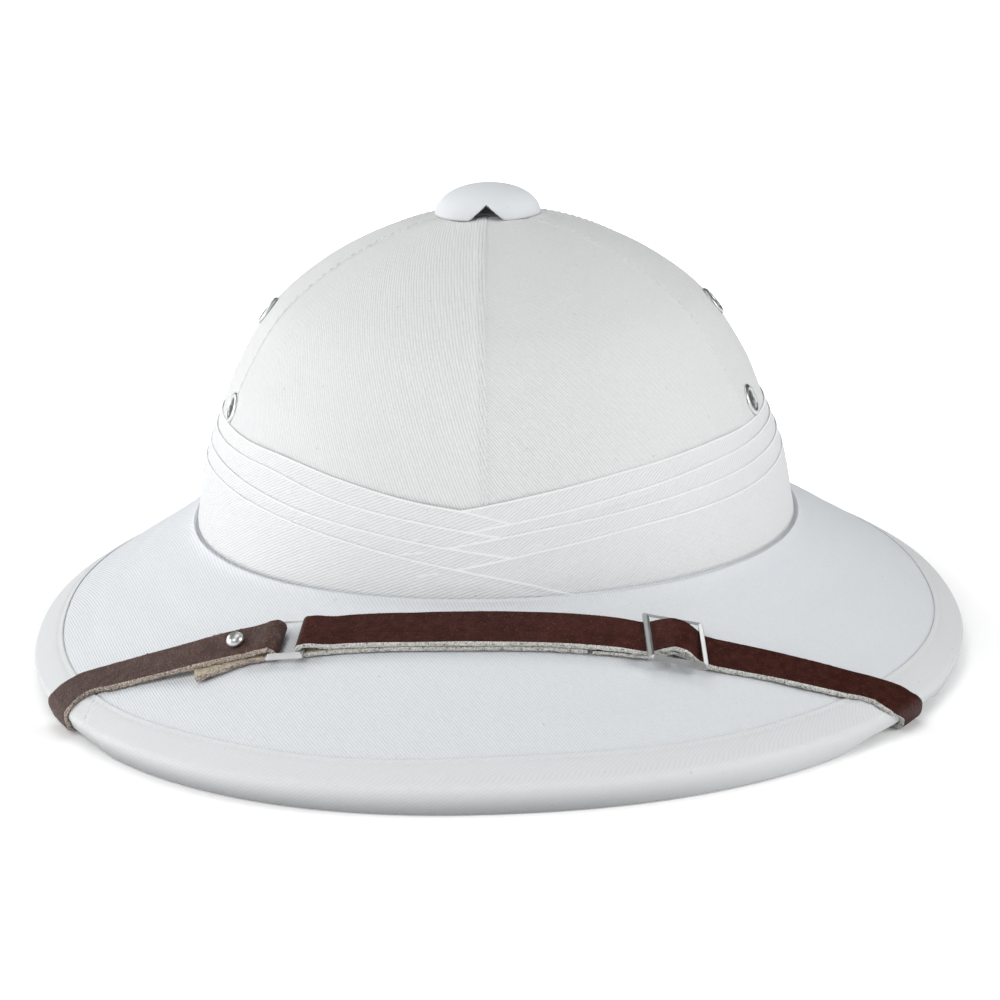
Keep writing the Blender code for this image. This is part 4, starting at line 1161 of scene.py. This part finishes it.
def even_stations(*stretches, step=0.6 * MM):
    """Evenly spaced lines on one smooth run through all the stretches."""
    points = np.concatenate(stretches)
    length = running_length(points[:, 2])
    keep = np.concatenate([[True], np.diff(length) > 0.15 * MM])
    points, length = points[keep], length[keep]
    at = np.linspace(0, length[-1], int(length[-1] / step) + 1)
    flat = points.reshape(len(points), -1)
    run = np.stack([smooth_table(length, flat[:, column], at) for column in range(flat.shape[1])], -1)
    return run.reshape(len(at), len(ACROSS), 3), at


unseen = even_stations(rim_stations(1), hidden_stations(1))[1]
print(f"from the tape on, the long strap runs {unseen[-1] / MM:.0f} mm round the rim and out of sight")

# %% [markdown]
# The section is a thin rectangle with soft corners. Cut leather is never smooth at its edges, so the points
# there are pushed in and out a little at random, always with the same seed. A shallow crease runs along
# the grain side, as a strap gets that has been folded flat for years.

# %% A ribbon of leather
GRAIN, EDGE, FLESH = 0, 1, 2
SECTION = (  # share of the half width, share of the half thickness, and the finish up to the next point
    (-1.0, 0.0, EDGE), (-0.995, 0.45, EDGE), (-0.975, 0.78, EDGE), (-0.945, 0.93, GRAIN), (-0.9, 1.0, GRAIN),
    (-0.75, 1.0, GRAIN), (-0.5, 1.0, GRAIN), (-0.25, 1.0, GRAIN), (0.0, 1.0, GRAIN), (0.2, 1.0, GRAIN),
    (0.27, 0.99, GRAIN), (0.3, 0.93, GRAIN), (0.33, 0.99, GRAIN), (0.45, 1.0, GRAIN), (0.65, 1.0, GRAIN),
    (0.8, 1.0, GRAIN), (0.9, 1.0, GRAIN), (0.945, 0.93, EDGE), (0.975, 0.78, EDGE), (0.995, 0.45, EDGE),
    (1.0, 0.0, EDGE), (0.995, -0.5, EDGE), (0.97, -0.85, FLESH), (0.9, -1.0, FLESH), (0.45, -1.0, FLESH),
    (0.0, -1.0, FLESH), (-0.45, -1.0, FLESH), (-0.9, -1.0, FLESH), (-0.97, -0.85, EDGE), (-0.995, -0.5, EDGE),
)


def strap_mesh(name, stations, at, seed, thick=STRAP_THICK, flip=False, fray=0.1 * MM):
    """A ribbon with soft corners and rough edges along stations of five points each."""
    rng = np.random.default_rng(seed)
    share, tall, finish = (np.array(column) for column in zip(*SECTION))
    spots = np.stack([[np.interp(share, ACROSS, line[:, axis]) for axis in range(3)] for line in stations])
    spots = spots.transpose(0, 2, 1)
    along = np.gradient(stations[:, 2], axis=0)
    across = stations[:, 4] - stations[:, 0]
    normal = np.cross(across, along) * (-1 if flip else 1)
    normal /= np.linalg.norm(normal, axis=1)[:, None]
    across /= np.linalg.norm(across, axis=1)[:, None]
    edge = np.abs(share) > 0.96
    rough = rng.normal(0, fray, (len(stations), len(share))) * edge
    slow = 0.12 * MM * np.sin(at / (5.3 * MM) + seed)[:, None]
    rough += (rng.normal(0, 0.05 * MM, (len(stations), 1)) + slow) * edge
    thick = np.broadcast_to(thick, len(stations))[:, None]
    high = tall[None] * thick / 2 + rng.normal(0, 0.05 * MM, (len(stations), len(share))) * edge
    high = high + (tall > 0.9) * ripple(at[:, None] / 0.02, share[None] * 0.05, 0.05 * MM, seed)
    points = spots + across[:, None] * rough[..., None] * np.sign(share)[None, :, None]
    points = points + normal[:, None] * high[..., None]
    around = np.concatenate([[0], np.cumsum(np.abs(np.diff(share)) * STRAP_WIDTH / 2 + 0.2 * MM)])
    around = np.append(around, around[-1] + 1 * MM)
    address = np.stack(np.broadcast_arrays(at[:, None] / MM, around[None] / MM), -1)
    layers = np.tile(finish.astype(int), (len(stations), 1))
    mesh = grid_mesh(name, points, ring=False, weave=address, layers=layers)
    return capped(mesh, split=bmesh.ops.triangulate, layer=EDGE)


print("the strap's section has", len(SECTION), "points")


# %% Leather, its cut edge and its flesh side
def leather(name, deep, paler, gloss):
    """Brown grain leather: mottled colour, dark pores and a fine pebbled surface."""
    finish = Finish(name, Specular_IOR_Level=0.09)
    grains = {"Vector": finish.place(), "Scale": 1300, "Smoothness": 0.6}
    pebbles = finish.add("ShaderNodeTexVoronoi", {"feature": "SMOOTH_F1"}, grains, output="Distance")
    pores = finish.noise(2400, 2)
    mottle, patches = finish.noise(420, 4, roughness=0.65), finish.noise(45, 3)
    colour = finish.mix(mottle.over(0.36, 0.72), deep, paler)
    colour = finish.mix(patches.over(0.5, 0.75) * 0.4, colour, shade_of(paler, 1.35))
    colour = finish.mix(pores.over(0.58, 0.66) * 0.75, colour, shade_of(deep, 0.25))
    colour = finish.mix(finish.noise(1400, 1).over(0.64, 0.72) * 0.4, colour, shade_of(paler, 3.0))
    height = pebbles * 0.8 + pores * 0.5 + mottle * 0.7
    normal = finish.bump(height, 0.16 * MM, 0.9)
    return finish.drive(Base_Color=colour, Roughness=mottle * 0.2 + gloss, Normal=normal)


def raw_edge(name, pale, dark):
    """The cut edge and the flesh side: loose pale fibres with dark pits between them."""
    finish = Finish(name, Roughness=0.95, Specular_IOR_Level=0.1)
    fibres, clumps = finish.noise(2600, 3), finish.noise(1100, 3)
    colour = finish.mix(fibres.over(0.36, 0.62), dark, pale)
    colour = finish.mix(clumps.over(0.56, 0.68) * 0.75, colour, shade_of(dark, 0.3))
    return finish.drive(Base_Color=colour, Normal=finish.bump(fibres + clumps, 0.4 * MM, 1.0))


# The left strap's leather is paler and greyer than the right one's: painted sheen, for the light that gleams
# along it.
left_sheen_grain = leather("brown_leather_sheen", (0.056, 0.032, 0.027), (0.090, 0.056, 0.049), 0.42)
long_grain = leather("brown_leather", (0.030, 0.0075, 0.0050), (0.053, 0.0155, 0.0115), 0.44)
short_edge = raw_edge("raw_edge_beige", (0.56, 0.49, 0.42), (0.20, 0.15, 0.125))
long_edge = raw_edge("raw_edge_grey", (0.66, 0.665, 0.63), (0.36, 0.355, 0.33))
flesh = raw_edge("flesh_side", (0.50, 0.44, 0.34), (0.34, 0.29, 0.22))
print("leathers:", left_sheen_grain.name, "and", long_grain.name)


# %% Both straps
def strap_run(top, tail, side):
    """The stations of a whole strap, their distances and the leather's thickness at each."""
    stretches = [laid_stations(tail)[::-1], fold_stations(top), laid_stations(top)]
    stations, at = even_stations(*stretches, rim_stations(side), hidden_stations(side))
    rim_at = at[np.argmin(np.linalg.norm(stations[:, 2] - rim_stations(side)[5, 2], axis=1))]
    return stations, at, STRAP_THICK - (STRAP_THICK - RIM_THICK) * np.exp(-(((at - rim_at) / (8 * MM)) ** 2))


short_stations, short_at, short_thick = strap_run(SHORT_TOP, SHORT_TAIL, -1)
short_mesh = strap_mesh(
    "strap_left", short_stations, short_at, seed=5, thick=short_thick, flip=True, fray=0.16 * MM
)
add_piece(
    "strap_left", short_mesh, left_sheen_grain, short_edge, flesh, nodes=["strap_short"], slot="brown_leather"
)

long_stations, long_at, long_thick = strap_run(LONG_TOP, LONG_TAIL, 1)
long_mesh = strap_mesh("strap_right", long_stations, long_at, seed=8, thick=long_thick)
tail_stations, tail_at = even_stations(laid_stations(SLIDER_TAIL))
tail_mesh = strap_mesh("slider_tail", tail_stations, tail_at, seed=12, thick=1.2 * MM)
add_piece(
    "strap_right", long_mesh, long_grain, long_edge, flesh, nodes=["strap_long"], slot="brown_leather"
)
add_piece("slider_tail", tail_mesh, long_grain, long_edge, flesh, slot="brown_leather")
print(f"left strap {short_at[-1] / MM:.0f} mm, right strap {long_at[-1] / MM:.0f} mm")

# %% [markdown]
# ## Nickel fittings
# The strap runs through a flat ring, is held by a slider and ends in a small stud, and the crown is aired
# through six eyelets. Such fittings are usually brass, plated with nickel. A polished metal has almost no
# colour of its own: it shows the lamps and the white cloth around it. So the material is only metallic with
# a fairly low roughness, broken up by faint scratches, and the shapes need true bevels to catch the light.

# %% Satin nickel
def satin_metal():
    finish = Finish("satin_nickel", Base_Color=(0.50, 0.51, 0.51), Metallic=1.0)
    cloudy, fine = finish.noise(260, 3), finish.noise(4200, 2)
    drawn_out = finish.add("ShaderNodeMapping", None, {"Vector": finish.place(), "Scale": (300, 6000, 1500)})
    scratches = finish.noise(1.0, 3.0, where=drawn_out)
    normal = finish.bump(fine * 0.5 + scratches * 0.6, 0.02 * MM, 0.5)
    return finish.drive(Roughness=cloudy * 0.14 + (scratches * 0.14 + 0.26), Normal=normal)


nickel = satin_metal()
print("metal:", nickel.name)


# %% Turned on a lathe
def turned(name, profile, middle, normal, closed=True, steps=48):
    """A piece made as on a lathe: a profile of radius and height in millimetres, turned round an axis."""
    radius, height = (np.array(column)[:, None] * MM for column in zip(*profile))
    angle = np.linspace(0, 2 * math.pi, steps, endpoint=False)
    side = np.cross(normal, (0, 0, 1))
    side /= np.linalg.norm(side)
    other = np.cross(normal, side)
    ring = side * np.cos(angle)[:, None] + other * np.sin(angle)[:, None]
    points = middle + radius[..., None] * ring + height[..., None] * normal
    mesh = grid_mesh(name, points, ring=closed)
    return outward(mesh) if closed else capped(mesh)


# %% [markdown]
# ## Eyelets
# An eyelet is a rolled rim on the outside with a tube through the shell, spread a little at its inner end.
# The cloth needs a real hole for each one, or the tube would be blind. A Boolean modifier cuts them with six
# short rods, and is applied at once, so that only the finished mesh stays.

# %% Eyelets
EYELET_PROFILE = (
    (3.02, 0.2), (3.1, 0.5), (3.35, 0.74), (3.7, 0.84), (4.1, 0.8), (4.5, 0.62), (4.82, 0.34), (4.92, 0.08),
    (4.86, -0.18), (4.5, -0.16), (3.5, -0.15), (3.3, -0.4), (3.3, -2.9), (3.5, -3.3), (4.0, -3.55),
    (3.9, -3.75), (3.4, -3.6), (3.1, -3.2), (3.02, -2.7), (3.0, -1.0),
)
EYELETS = {  # node: degrees from the middle line, and height in millimetres
    "eyelet_left_front": (-72.5, 81.1), "eyelet_left_rear": (-112, 81.6), "eyelet_left_upper": (-89.5, 105.5),
    "eyelet_right_front": (72.5, 80.8), "eyelet_right_rear": (112, 81.6), "eyelet_right_upper": (91, 105.4),
}


def eyelet_place(name):
    """The eyelet's middle on the crown, and the way out of the crown there."""
    away, height = EYELETS[name]
    turn = np.array([SEAM_TURNS[0] + math.radians(away)])
    return crown_point(turn, height * MM)[0], crown_normal(turn, np.array([height * MM]))[0]


print(len(EYELETS), "eyelets, the first at", np.round(eyelet_place("eyelet_left_front")[0] / MM, 1), "mm")

# %% Holes for the eyelets
rods = []
for name in EYELETS:
    middle, normal = eyelet_place(name)
    rods.append(turned("rod", ((3.42, 4), (3.42, -7)), middle, normal, closed=False))
cutter = bpy.data.objects.new("rods", joined("rods", rods))
bpy.context.scene.collection.objects.link(cutter)
holes = crown_cloth.modifiers.new("holes", "BOOLEAN")
holes.operation, holes.solver, holes.object = "DIFFERENCE", "EXACT", cutter
solid_faces = len(crown_cloth.data.polygons)
holed = bpy.data.meshes.new_from_object(crown_cloth.evaluated_get(bpy.context.evaluated_depsgraph_get()))
crown_cloth.modifiers.clear()
crown_cloth.data = holed
holed.name = "crown_cloth"
bpy.data.objects.remove(cutter)
print("crown faces before and after the holes:", solid_faces, len(holed.polygons))

# %% Rolled rims
for name in EYELETS:
    middle, normal = eyelet_place(name)
    mesh = turned(f"rolled_{name}", EYELET_PROFILE, middle, normal)
    add_piece(f"rolled_{name}", mesh, nickel, nodes=[name], slot="satin_nickel")
    low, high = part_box(name)
    centre = (np.array(low) + np.array(high)) / 2
    print(name, "is", round(float(np.linalg.norm(centre - middle)) / MM, 2), "mm from its solid's middle")

# %% [markdown]
# ## Ring and slider
# Both are flat frames whose outer faces are bevelled, like a tiny picture frame with mitred corners, so
# each side mirrors something else. A section is carried round a rectangle. Each of the four sides has
# sizes of its own: the two posts that the strap passes, and the rails below and above it. The section
# changes from one to the next close to the corners.

# %% Frame round a rectangle
def metal_frame(name, place, size, posts, rails):
    """A flat frame. size is its opening, along and across the strap. posts (left, right) and rails (lower,
    upper) each hold a width and the heights of the inner edge, the outer edge and the underside.
    place is the middle of the opening and the ways along the strap, off the brim and outward."""
    middle, along, normal, across = place
    corner = 0.25 * MM  # radius of the opening's corners
    path = []  # inner point, outer point, share of the rail's section, the post's sizes and the rail's

    def turn_corner(post_side, rail_side, post, angles):
        centre = np.array([post_side * (size[0] / 2 - corner), rail_side * (size[1] / 2 - corner)])
        for angle in np.radians(angles):
            way = np.array([post_side * math.cos(angle), rail_side * math.sin(angle)])
            bulge = np.sign(way) * np.abs(way) ** 0.3
            rail = rails[0] if rail_side > 0 else rails[1]
            outer = centre + bulge * (corner + np.array([post[0], rail[0]]))
            path.append((centre + way * corner, outer, 1.0 if angle > 0.9 else 0.0, post, rail))

    def run_rail(rail_side, start, end):
        reach = size[0] / 2 - corner
        for share in (0.01, 0.05, 0.3, 0.5, 0.7, 0.95, 0.99):
            x = between(start, end, share) * reach
            spot = np.array([x, rail_side * size[1] / 2])
            rail = rails[0] if rail_side > 0 else rails[1]
            path.append((spot, spot + (0, rail_side * rail[0]), 1.0, posts[0] if x < 0 else posts[1], rail))

    turn_corner(-1, 1, posts[0], (0, 30, 45, 60, 90)), run_rail(1, -1, 1)
    turn_corner(1, 1, posts[1], (90, 60, 45, 30, 0)), turn_corner(1, -1, posts[1], (0, 30, 45, 60, 90))
    run_rail(-1, 1, -1), turn_corner(-1, -1, posts[0], (90, 60, 45, 30, 0))
    rows = []
    for inner, outer, share, post, rail in path:
        _, inner_top, outer_top, bottom = between(np.array(post), np.array(rail), share)
        soft = 0.16 * MM / np.linalg.norm(outer - inner)
        section = (
            (0, bottom + 0.1 * MM), (0, inner_top - 0.12 * MM), (soft, inner_top - 0.02 * MM),
            (0.5, (inner_top + outer_top) / 2), (1 - soft, outer_top + 0.02 * MM), (1, outer_top - 0.1 * MM),
            (1, bottom + 0.1 * MM), (1 - soft, bottom), (soft, bottom),
        )
        flat = [between(inner, outer, out) for out, _ in section]
        rows.append([middle + along * u + across * v + normal * z for (u, v), (_, z) in zip(flat, section)])
    mesh = outward(grid_mesh(name, np.array(rows).transpose(1, 0, 2)))
    mesh.set_sharp_from_angle(angle=math.radians(35))
    return mesh


# %% Between two places
def middle_of(first, second, lift):
    """A place midway between two points of the brim, and the three ways there."""
    spots = [lay(*np.array(spot)[:, None] * MM, np.array([lift * MM])) for spot in (first, second)]
    (start, start_up), (end, end_up) = spots
    along, normal = (end - start)[0], (start_up + end_up)[0] / 2
    along /= np.linalg.norm(along)
    across = np.cross(normal, along)
    across *= np.sign(np.dot(across[:2], start[0, :2])) / np.linalg.norm(across)
    return (start + end)[0] / 2, along, np.cross(along, across) * np.sign(np.cross(along, across)[2]), across


# %% Ring
short_bar, long_bar = bar_place(SHORT_TOP)[0], bar_place(LONG_TOP)[0]
apart = float(np.linalg.norm(long_bar - short_bar))
ring_place = middle_of((-66.9, -108.7), (-56.9, -113.1), LAID + FOLD_RADIUS / MM)
bar = (0.9 * MM, 0.42 * MM, 0.3 * MM, -0.42 * MM)
lower_rail = (1.7 * MM, 0.72 * MM, -0.18 * MM, -0.5 * MM)
upper_rail = (0.55 * MM, 0.25 * MM, 0.42 * MM, -0.05 * MM)
ring_size = (apart - 0.6 * MM, 12.3 * MM)
ring_mesh = metal_frame("flat_ring", ring_place, ring_size, (bar, bar), (lower_rail, upper_rail))
add_piece("flat_ring", ring_mesh, nickel, nodes=["strap_ring"], slot="satin_nickel")

# %% Slider
middle, along, normal, across = middle_of((35.8, -125.0), (51.0, -124.3), 3.95)
slider_place = (middle, along, normal, across + 0.075 * along)  # it is bent a little out of square
slider_posts = ((1.8 * MM, 0.76 * MM, 0.7 * MM, -0.1 * MM), (1.25 * MM, 0.56 * MM, 0.72 * MM, -0.1 * MM))
slider_rails = ((1.35 * MM, 0.85 * MM, -0.25 * MM, -0.6 * MM), (0.7 * MM, 0.5 * MM, 0.72 * MM, 0.1 * MM))
slider_mesh = metal_frame("strap_slide", slider_place, (14.3 * MM, 15.0 * MM), slider_posts, slider_rails)
low_bar = (0.8 * MM, -1.6 * MM, -1.7 * MM, -2.3 * MM)  # the middle bar, hidden under the fold
bar_ends = (0.3 * MM,) + low_bar[1:]
bar_mesh = metal_frame("bar", slider_place, (0.02 * MM, 12.8 * MM), (low_bar, low_bar), (bar_ends, bar_ends))
slider_mesh = joined("strap_slide", [slider_mesh, bar_mesh])
add_piece("strap_slide", slider_mesh, nickel, nodes=["strap_slider"], slot="satin_nickel")

# %% [markdown]
# The stud is a little cap on a neck. Its flattened top mirrors the dim room and its rounded side the lamps
# and the white cloth, so it is a grey patch in a bright rim, and the eye takes that for round metal.

# %% Stud
STUD_PROFILE = (
    (0.02, 3.0), (0.7, 2.98), (1.25, 2.9), (1.7, 2.68), (2.15, 2.3), (2.5, 1.8), (2.66, 1.3), (2.6, 0.85),
    (2.3, 0.5), (1.8, 0.3), (1.35, 0.15), (1.3, -0.1), (0.02, -0.12),
)
stud_lift = [DOUBLED * MM + STRAP_THICK / 2 + 0.06 * MM]
stud_seat, stud_up = (row[0] for row in lay(np.array([-76.9 * MM]), np.array([-105.0 * MM]), stud_lift))
stud_mesh = turned("round_stud", STUD_PROFILE, stud_seat, stud_up, closed=False)
add_piece("round_stud", stud_mesh, nickel, nodes=["strap_stud"], slot="satin_nickel")

# %% [markdown]
# ## Stitches
# Seen close, a row of sewing is a row of little sausages of thread, each sunk into the cloth at both ends.
# They are made all at once: one sausage is described by a few numbers, and a sum places a copy of it between
# each pair of needle holes. They are real meshes, because a bump alone goes flat when the light is low.

# %% Thread
def stitches(name, starts, ends, normals, thick=0.2 * MM, proud=0.02 * MM, sink=0.3 * MM):
    """A sausage of thread from each start to its end."""
    along = ends - starts
    side = np.cross(normals, along)
    side /= np.linalg.norm(side, axis=1)[:, None]
    # Places along the stitch, from its middle, and how thick it is there
    shape = ((-0.5, 0.25), (-0.42, 0.75), (-0.22, 1), (0, 1.05), (0.22, 1), (0.42, 0.75), (0.5, 0.25))
    sides = 6
    points = []
    for place, girth in shape:
        middle = (starts + ends) / 2 + along * place + normals * (proud - sink * abs(2 * place) ** 4)
        for angle in np.linspace(0, 2 * math.pi, sides + 1)[:-1]:
            points.append(middle + (side * math.cos(angle) + normals * math.sin(angle)) * thick * girth)
    points = np.array(points).transpose(1, 0, 2)  # stitch, point, 3
    each = len(shape) * sides
    quads = []
    for row in range(0, each - sides, sides):
        for column in range(sides):
            beside = (column + 1) % sides
            quads.append([row + column, row + beside, row + sides + beside, row + sides + column])
    first = (np.arange(len(points)) * each)[:, None, None]
    quads = np.array(quads)[None] + first
    caps = np.array([range(sides), range(each - sides, each)])[None] + first
    faces = quads.reshape(-1, 4).tolist() + caps.reshape(-1, sides).tolist()
    mesh = bpy.data.meshes.new(name)
    mesh.from_pydata(points.reshape(-1, 3).tolist(), [], faces)
    mesh.shade_smooth()
    return outward(mesh)


thread = Finish("white_thread", Roughness=0.7)
thread.drive(Base_Color=thread.mix(thread.noise(2500, 2), (0.56, 0.565, 0.575), (0.70, 0.705, 0.71)))
thread = thread.material
print("thread:", thread.name)

# %% Seam stitches
CROWN_STITCH, SEAM_AWAY = 2.7 * MM, 1.45 * MM  # pitch, and distance from the seam
seam_starts, seam_ends, seam_ups = [], [], []
up = np.linspace(BAND_LEVELS[0], VENT_RIM - 0.6 * MM, 900)
for seam in SEAM_TURNS:
    over = (SEAM_STEP - 0.16 * MM) * (1.0 if seam == SEAM_TURNS[0] else 0.45)
    turn = seam - SEAM_AWAY / crown_reach(np.full_like(up, seam), up)
    length = running_length(crown_point(turn, up))
    first = np.arange(1 * MM, length[-1] - 6 * MM, CROWN_STITCH)
    for at, into in ((first, seam_starts), (first + 1.75 * MM, seam_ends)):
        level, around = np.interp(at, length, up), np.interp(at, length, turn)
        into.append(crown_point(around, level) + crown_normal(around, level) * over)
    middle = first + 0.9 * MM
    seam_ups.append(crown_normal(np.interp(middle, length, turn), np.interp(middle, length, up)))
seam_mesh = stitches("seam_stitches", *(np.concatenate(rows) for rows in (seam_starts, seam_ends, seam_ups)))
add_piece("seam_stitches", seam_mesh, thread, slot="white_twill")

# %% Tape stitches
seam_row = tape_row(BINDING_WIDTH - TAPE_SEAM)
spots = (np.arange(stitch_count) + 0.5) * rim_way[-1] / stitch_count
spots = spots[(np.abs(np.interp(spots, rim_way, tape_turns) - TAPE_JOINT) > 0.002)]
tape_starts, tape_ends = (
    np.stack([np.interp(spots + shift, rim_way, seam_row[:, axis]) for axis in range(3)], -1)
    for shift in (-0.95 * MM, 0.95 * MM)
)
tape_ups = brim_normal(np.interp(spots, rim_way, tape_turns))
tape_stitch_mesh = stitches("tape_stitches", tape_starts, tape_ends, tape_ups, proud=-0.06 * MM)
add_piece("tape_stitches", tape_stitch_mesh, thread, slot="white_twill")

# %% [markdown]
# ## Floor and light
# The floor is a wide pale plane. Under the hat it is plain paper that takes a shadow. Further out it also
# glows, which turns it white up to the edge of the picture. Soft light comes from large area lamps: the
# larger a lamp is, the softer the shadows. Four stand round the hat and one hangs over it, and their power
# differs, so that the white hat has brighter and dimmer sides. The standard view transform keeps white cloth
# white.

# %% Floor
FLOOR_HALF = 4.0
corners = [(-FLOOR_HALF, -FLOOR_HALF, 0), (FLOOR_HALF, -FLOOR_HALF, 0)]
corners += [(FLOOR_HALF, FLOOR_HALF, 0), (-FLOOR_HALF, FLOOR_HALF, 0)]
floor_mesh = bpy.data.meshes.new("floor")
floor_mesh.from_pydata(corners, [], [(0, 1, 2, 3)])
floor = bpy.data.objects.new("floor", floor_mesh)
floor.location.z = -0.0002
paper = Finish("pale_floor", Base_Color=(0.95, 0.95, 0.95), Roughness=0.9, Emission_Strength=1.0)
away = paper.add("ShaderNodeVectorMath", {"operation": "LENGTH"}, {0: paper.place()}, output="Value")
paper.drive(Emission_Color=paper.mix(away.over(0.13, 0.27), (0.07, 0.07, 0.07), (0.8, 0.8, 0.8)))
floor_mesh.materials.append(paper.material)
bpy.context.scene.collection.objects.link(floor)
print("floor", 2 * FLOOR_HALF, "m wide")

# %% Lamps
LAMPS = (
    {"name": "front_left", "place": (-1.1, -1.9, 2.0), "size": 1.6, "power": 30},
    {"name": "low_left", "place": (-2.0, -0.2, 0.45), "size": 1.2, "power": 23},
    {"name": "back_left", "place": (-1.9, 1.5, 0.9), "size": 1.4, "power": 19},
    {"name": "right", "place": (2.1, -1.0, 1.1), "size": 1.4, "power": 37},
    {"name": "top", "place": (0.0, 0.2, 2.5), "size": 2.0, "power": 23},
)
for row in LAMPS:
    lamp = bpy.data.lights.new(row["name"], "AREA")
    lamp.shape, lamp.size, lamp.energy = "DISK", row["size"], row["power"]
    holder = bpy.data.objects.new(row["name"], lamp)
    holder.location = row["place"]
    holder.rotation_mode = "QUATERNION"
    holder.rotation_quaternion = (-Vector(row["place"])).to_track_quat("-Z", "Y")
    bpy.context.scene.collection.objects.link(holder)
print(len(LAMPS), "lamps,", sum(row["power"] for row in LAMPS), "W in all")

# %% Room
world = bpy.data.worlds.new("studio")
bpy.context.scene.world = world
world.use_nodes = True
background = world.node_tree.nodes["Background"].inputs
background["Color"].default_value, background["Strength"].default_value = (1, 1, 1, 1), 0.05
bpy.context.scene.view_settings.view_transform = "Standard"
print("room light:", world.name)

# Most of the sizes are worked out from the shapes above. The widths of the tape and of the scarf, the
# scarf's length and the fall of the brim are typed in.

# %% Cut sizes
def plan_area(outline):
    x, y = outline[..., 0].ravel(), outline[..., 1].ravel()
    return abs(float((x * np.roll(y, -1) - y * np.roll(x, -1)).sum())) / 2


def report_sheet(piece, flat, area=None):
    skin = sum(face.area for face in piece.data.polygons) / 2  # a closed piece has the cloth's area twice
    cut = flat[0] * flat[1] if area is None else area
    sides = [round(size / MM) for size in flat]
    print(piece.name, "cut", sides, "mm, its skin is", round(skin / cut, 2), "of the cut")


round_turns = np.linspace(-math.pi, math.pi, 720, endpoint=False)
girths = np.array([2 * math.pi * crown_reach(round_turns, height).mean() for height in heights])
gores_area = float((np.diff(up_gore) * (girths[1:] + girths[:-1]) / 2).sum())
gores_flat = (float(girths.max()), float(up_gore[-1]))
rim_size = np.ptp(brim_edge(round_turns)[..., :2], axis=0)
crown_foot = crown_point(round_turns, np.full_like(round_turns, CLOTH_FOOT))
CUT_FALL = math.radians(22)  # too small: the brim falls 31 degrees, so the printed cut is a little small
brim_area = (plan_area(brim_edge(round_turns)) - plan_area(crown_foot)) / math.cos(CUT_FALL)
brim_flat = tuple(float(side + 2 * BINDING_WIDTH) for side in rim_size)
tape_flat = (34 * MM, float(rim_way[-1]))
folds_flat = (43 * MM, 0.68)

report_sheet(crown_cloth, gores_flat, gores_area)
report_sheet(brim_cloth, brim_flat, brim_area)
report_sheet(brim_tape, tape_flat)
report_sheet(pugree_folds, folds_flat)
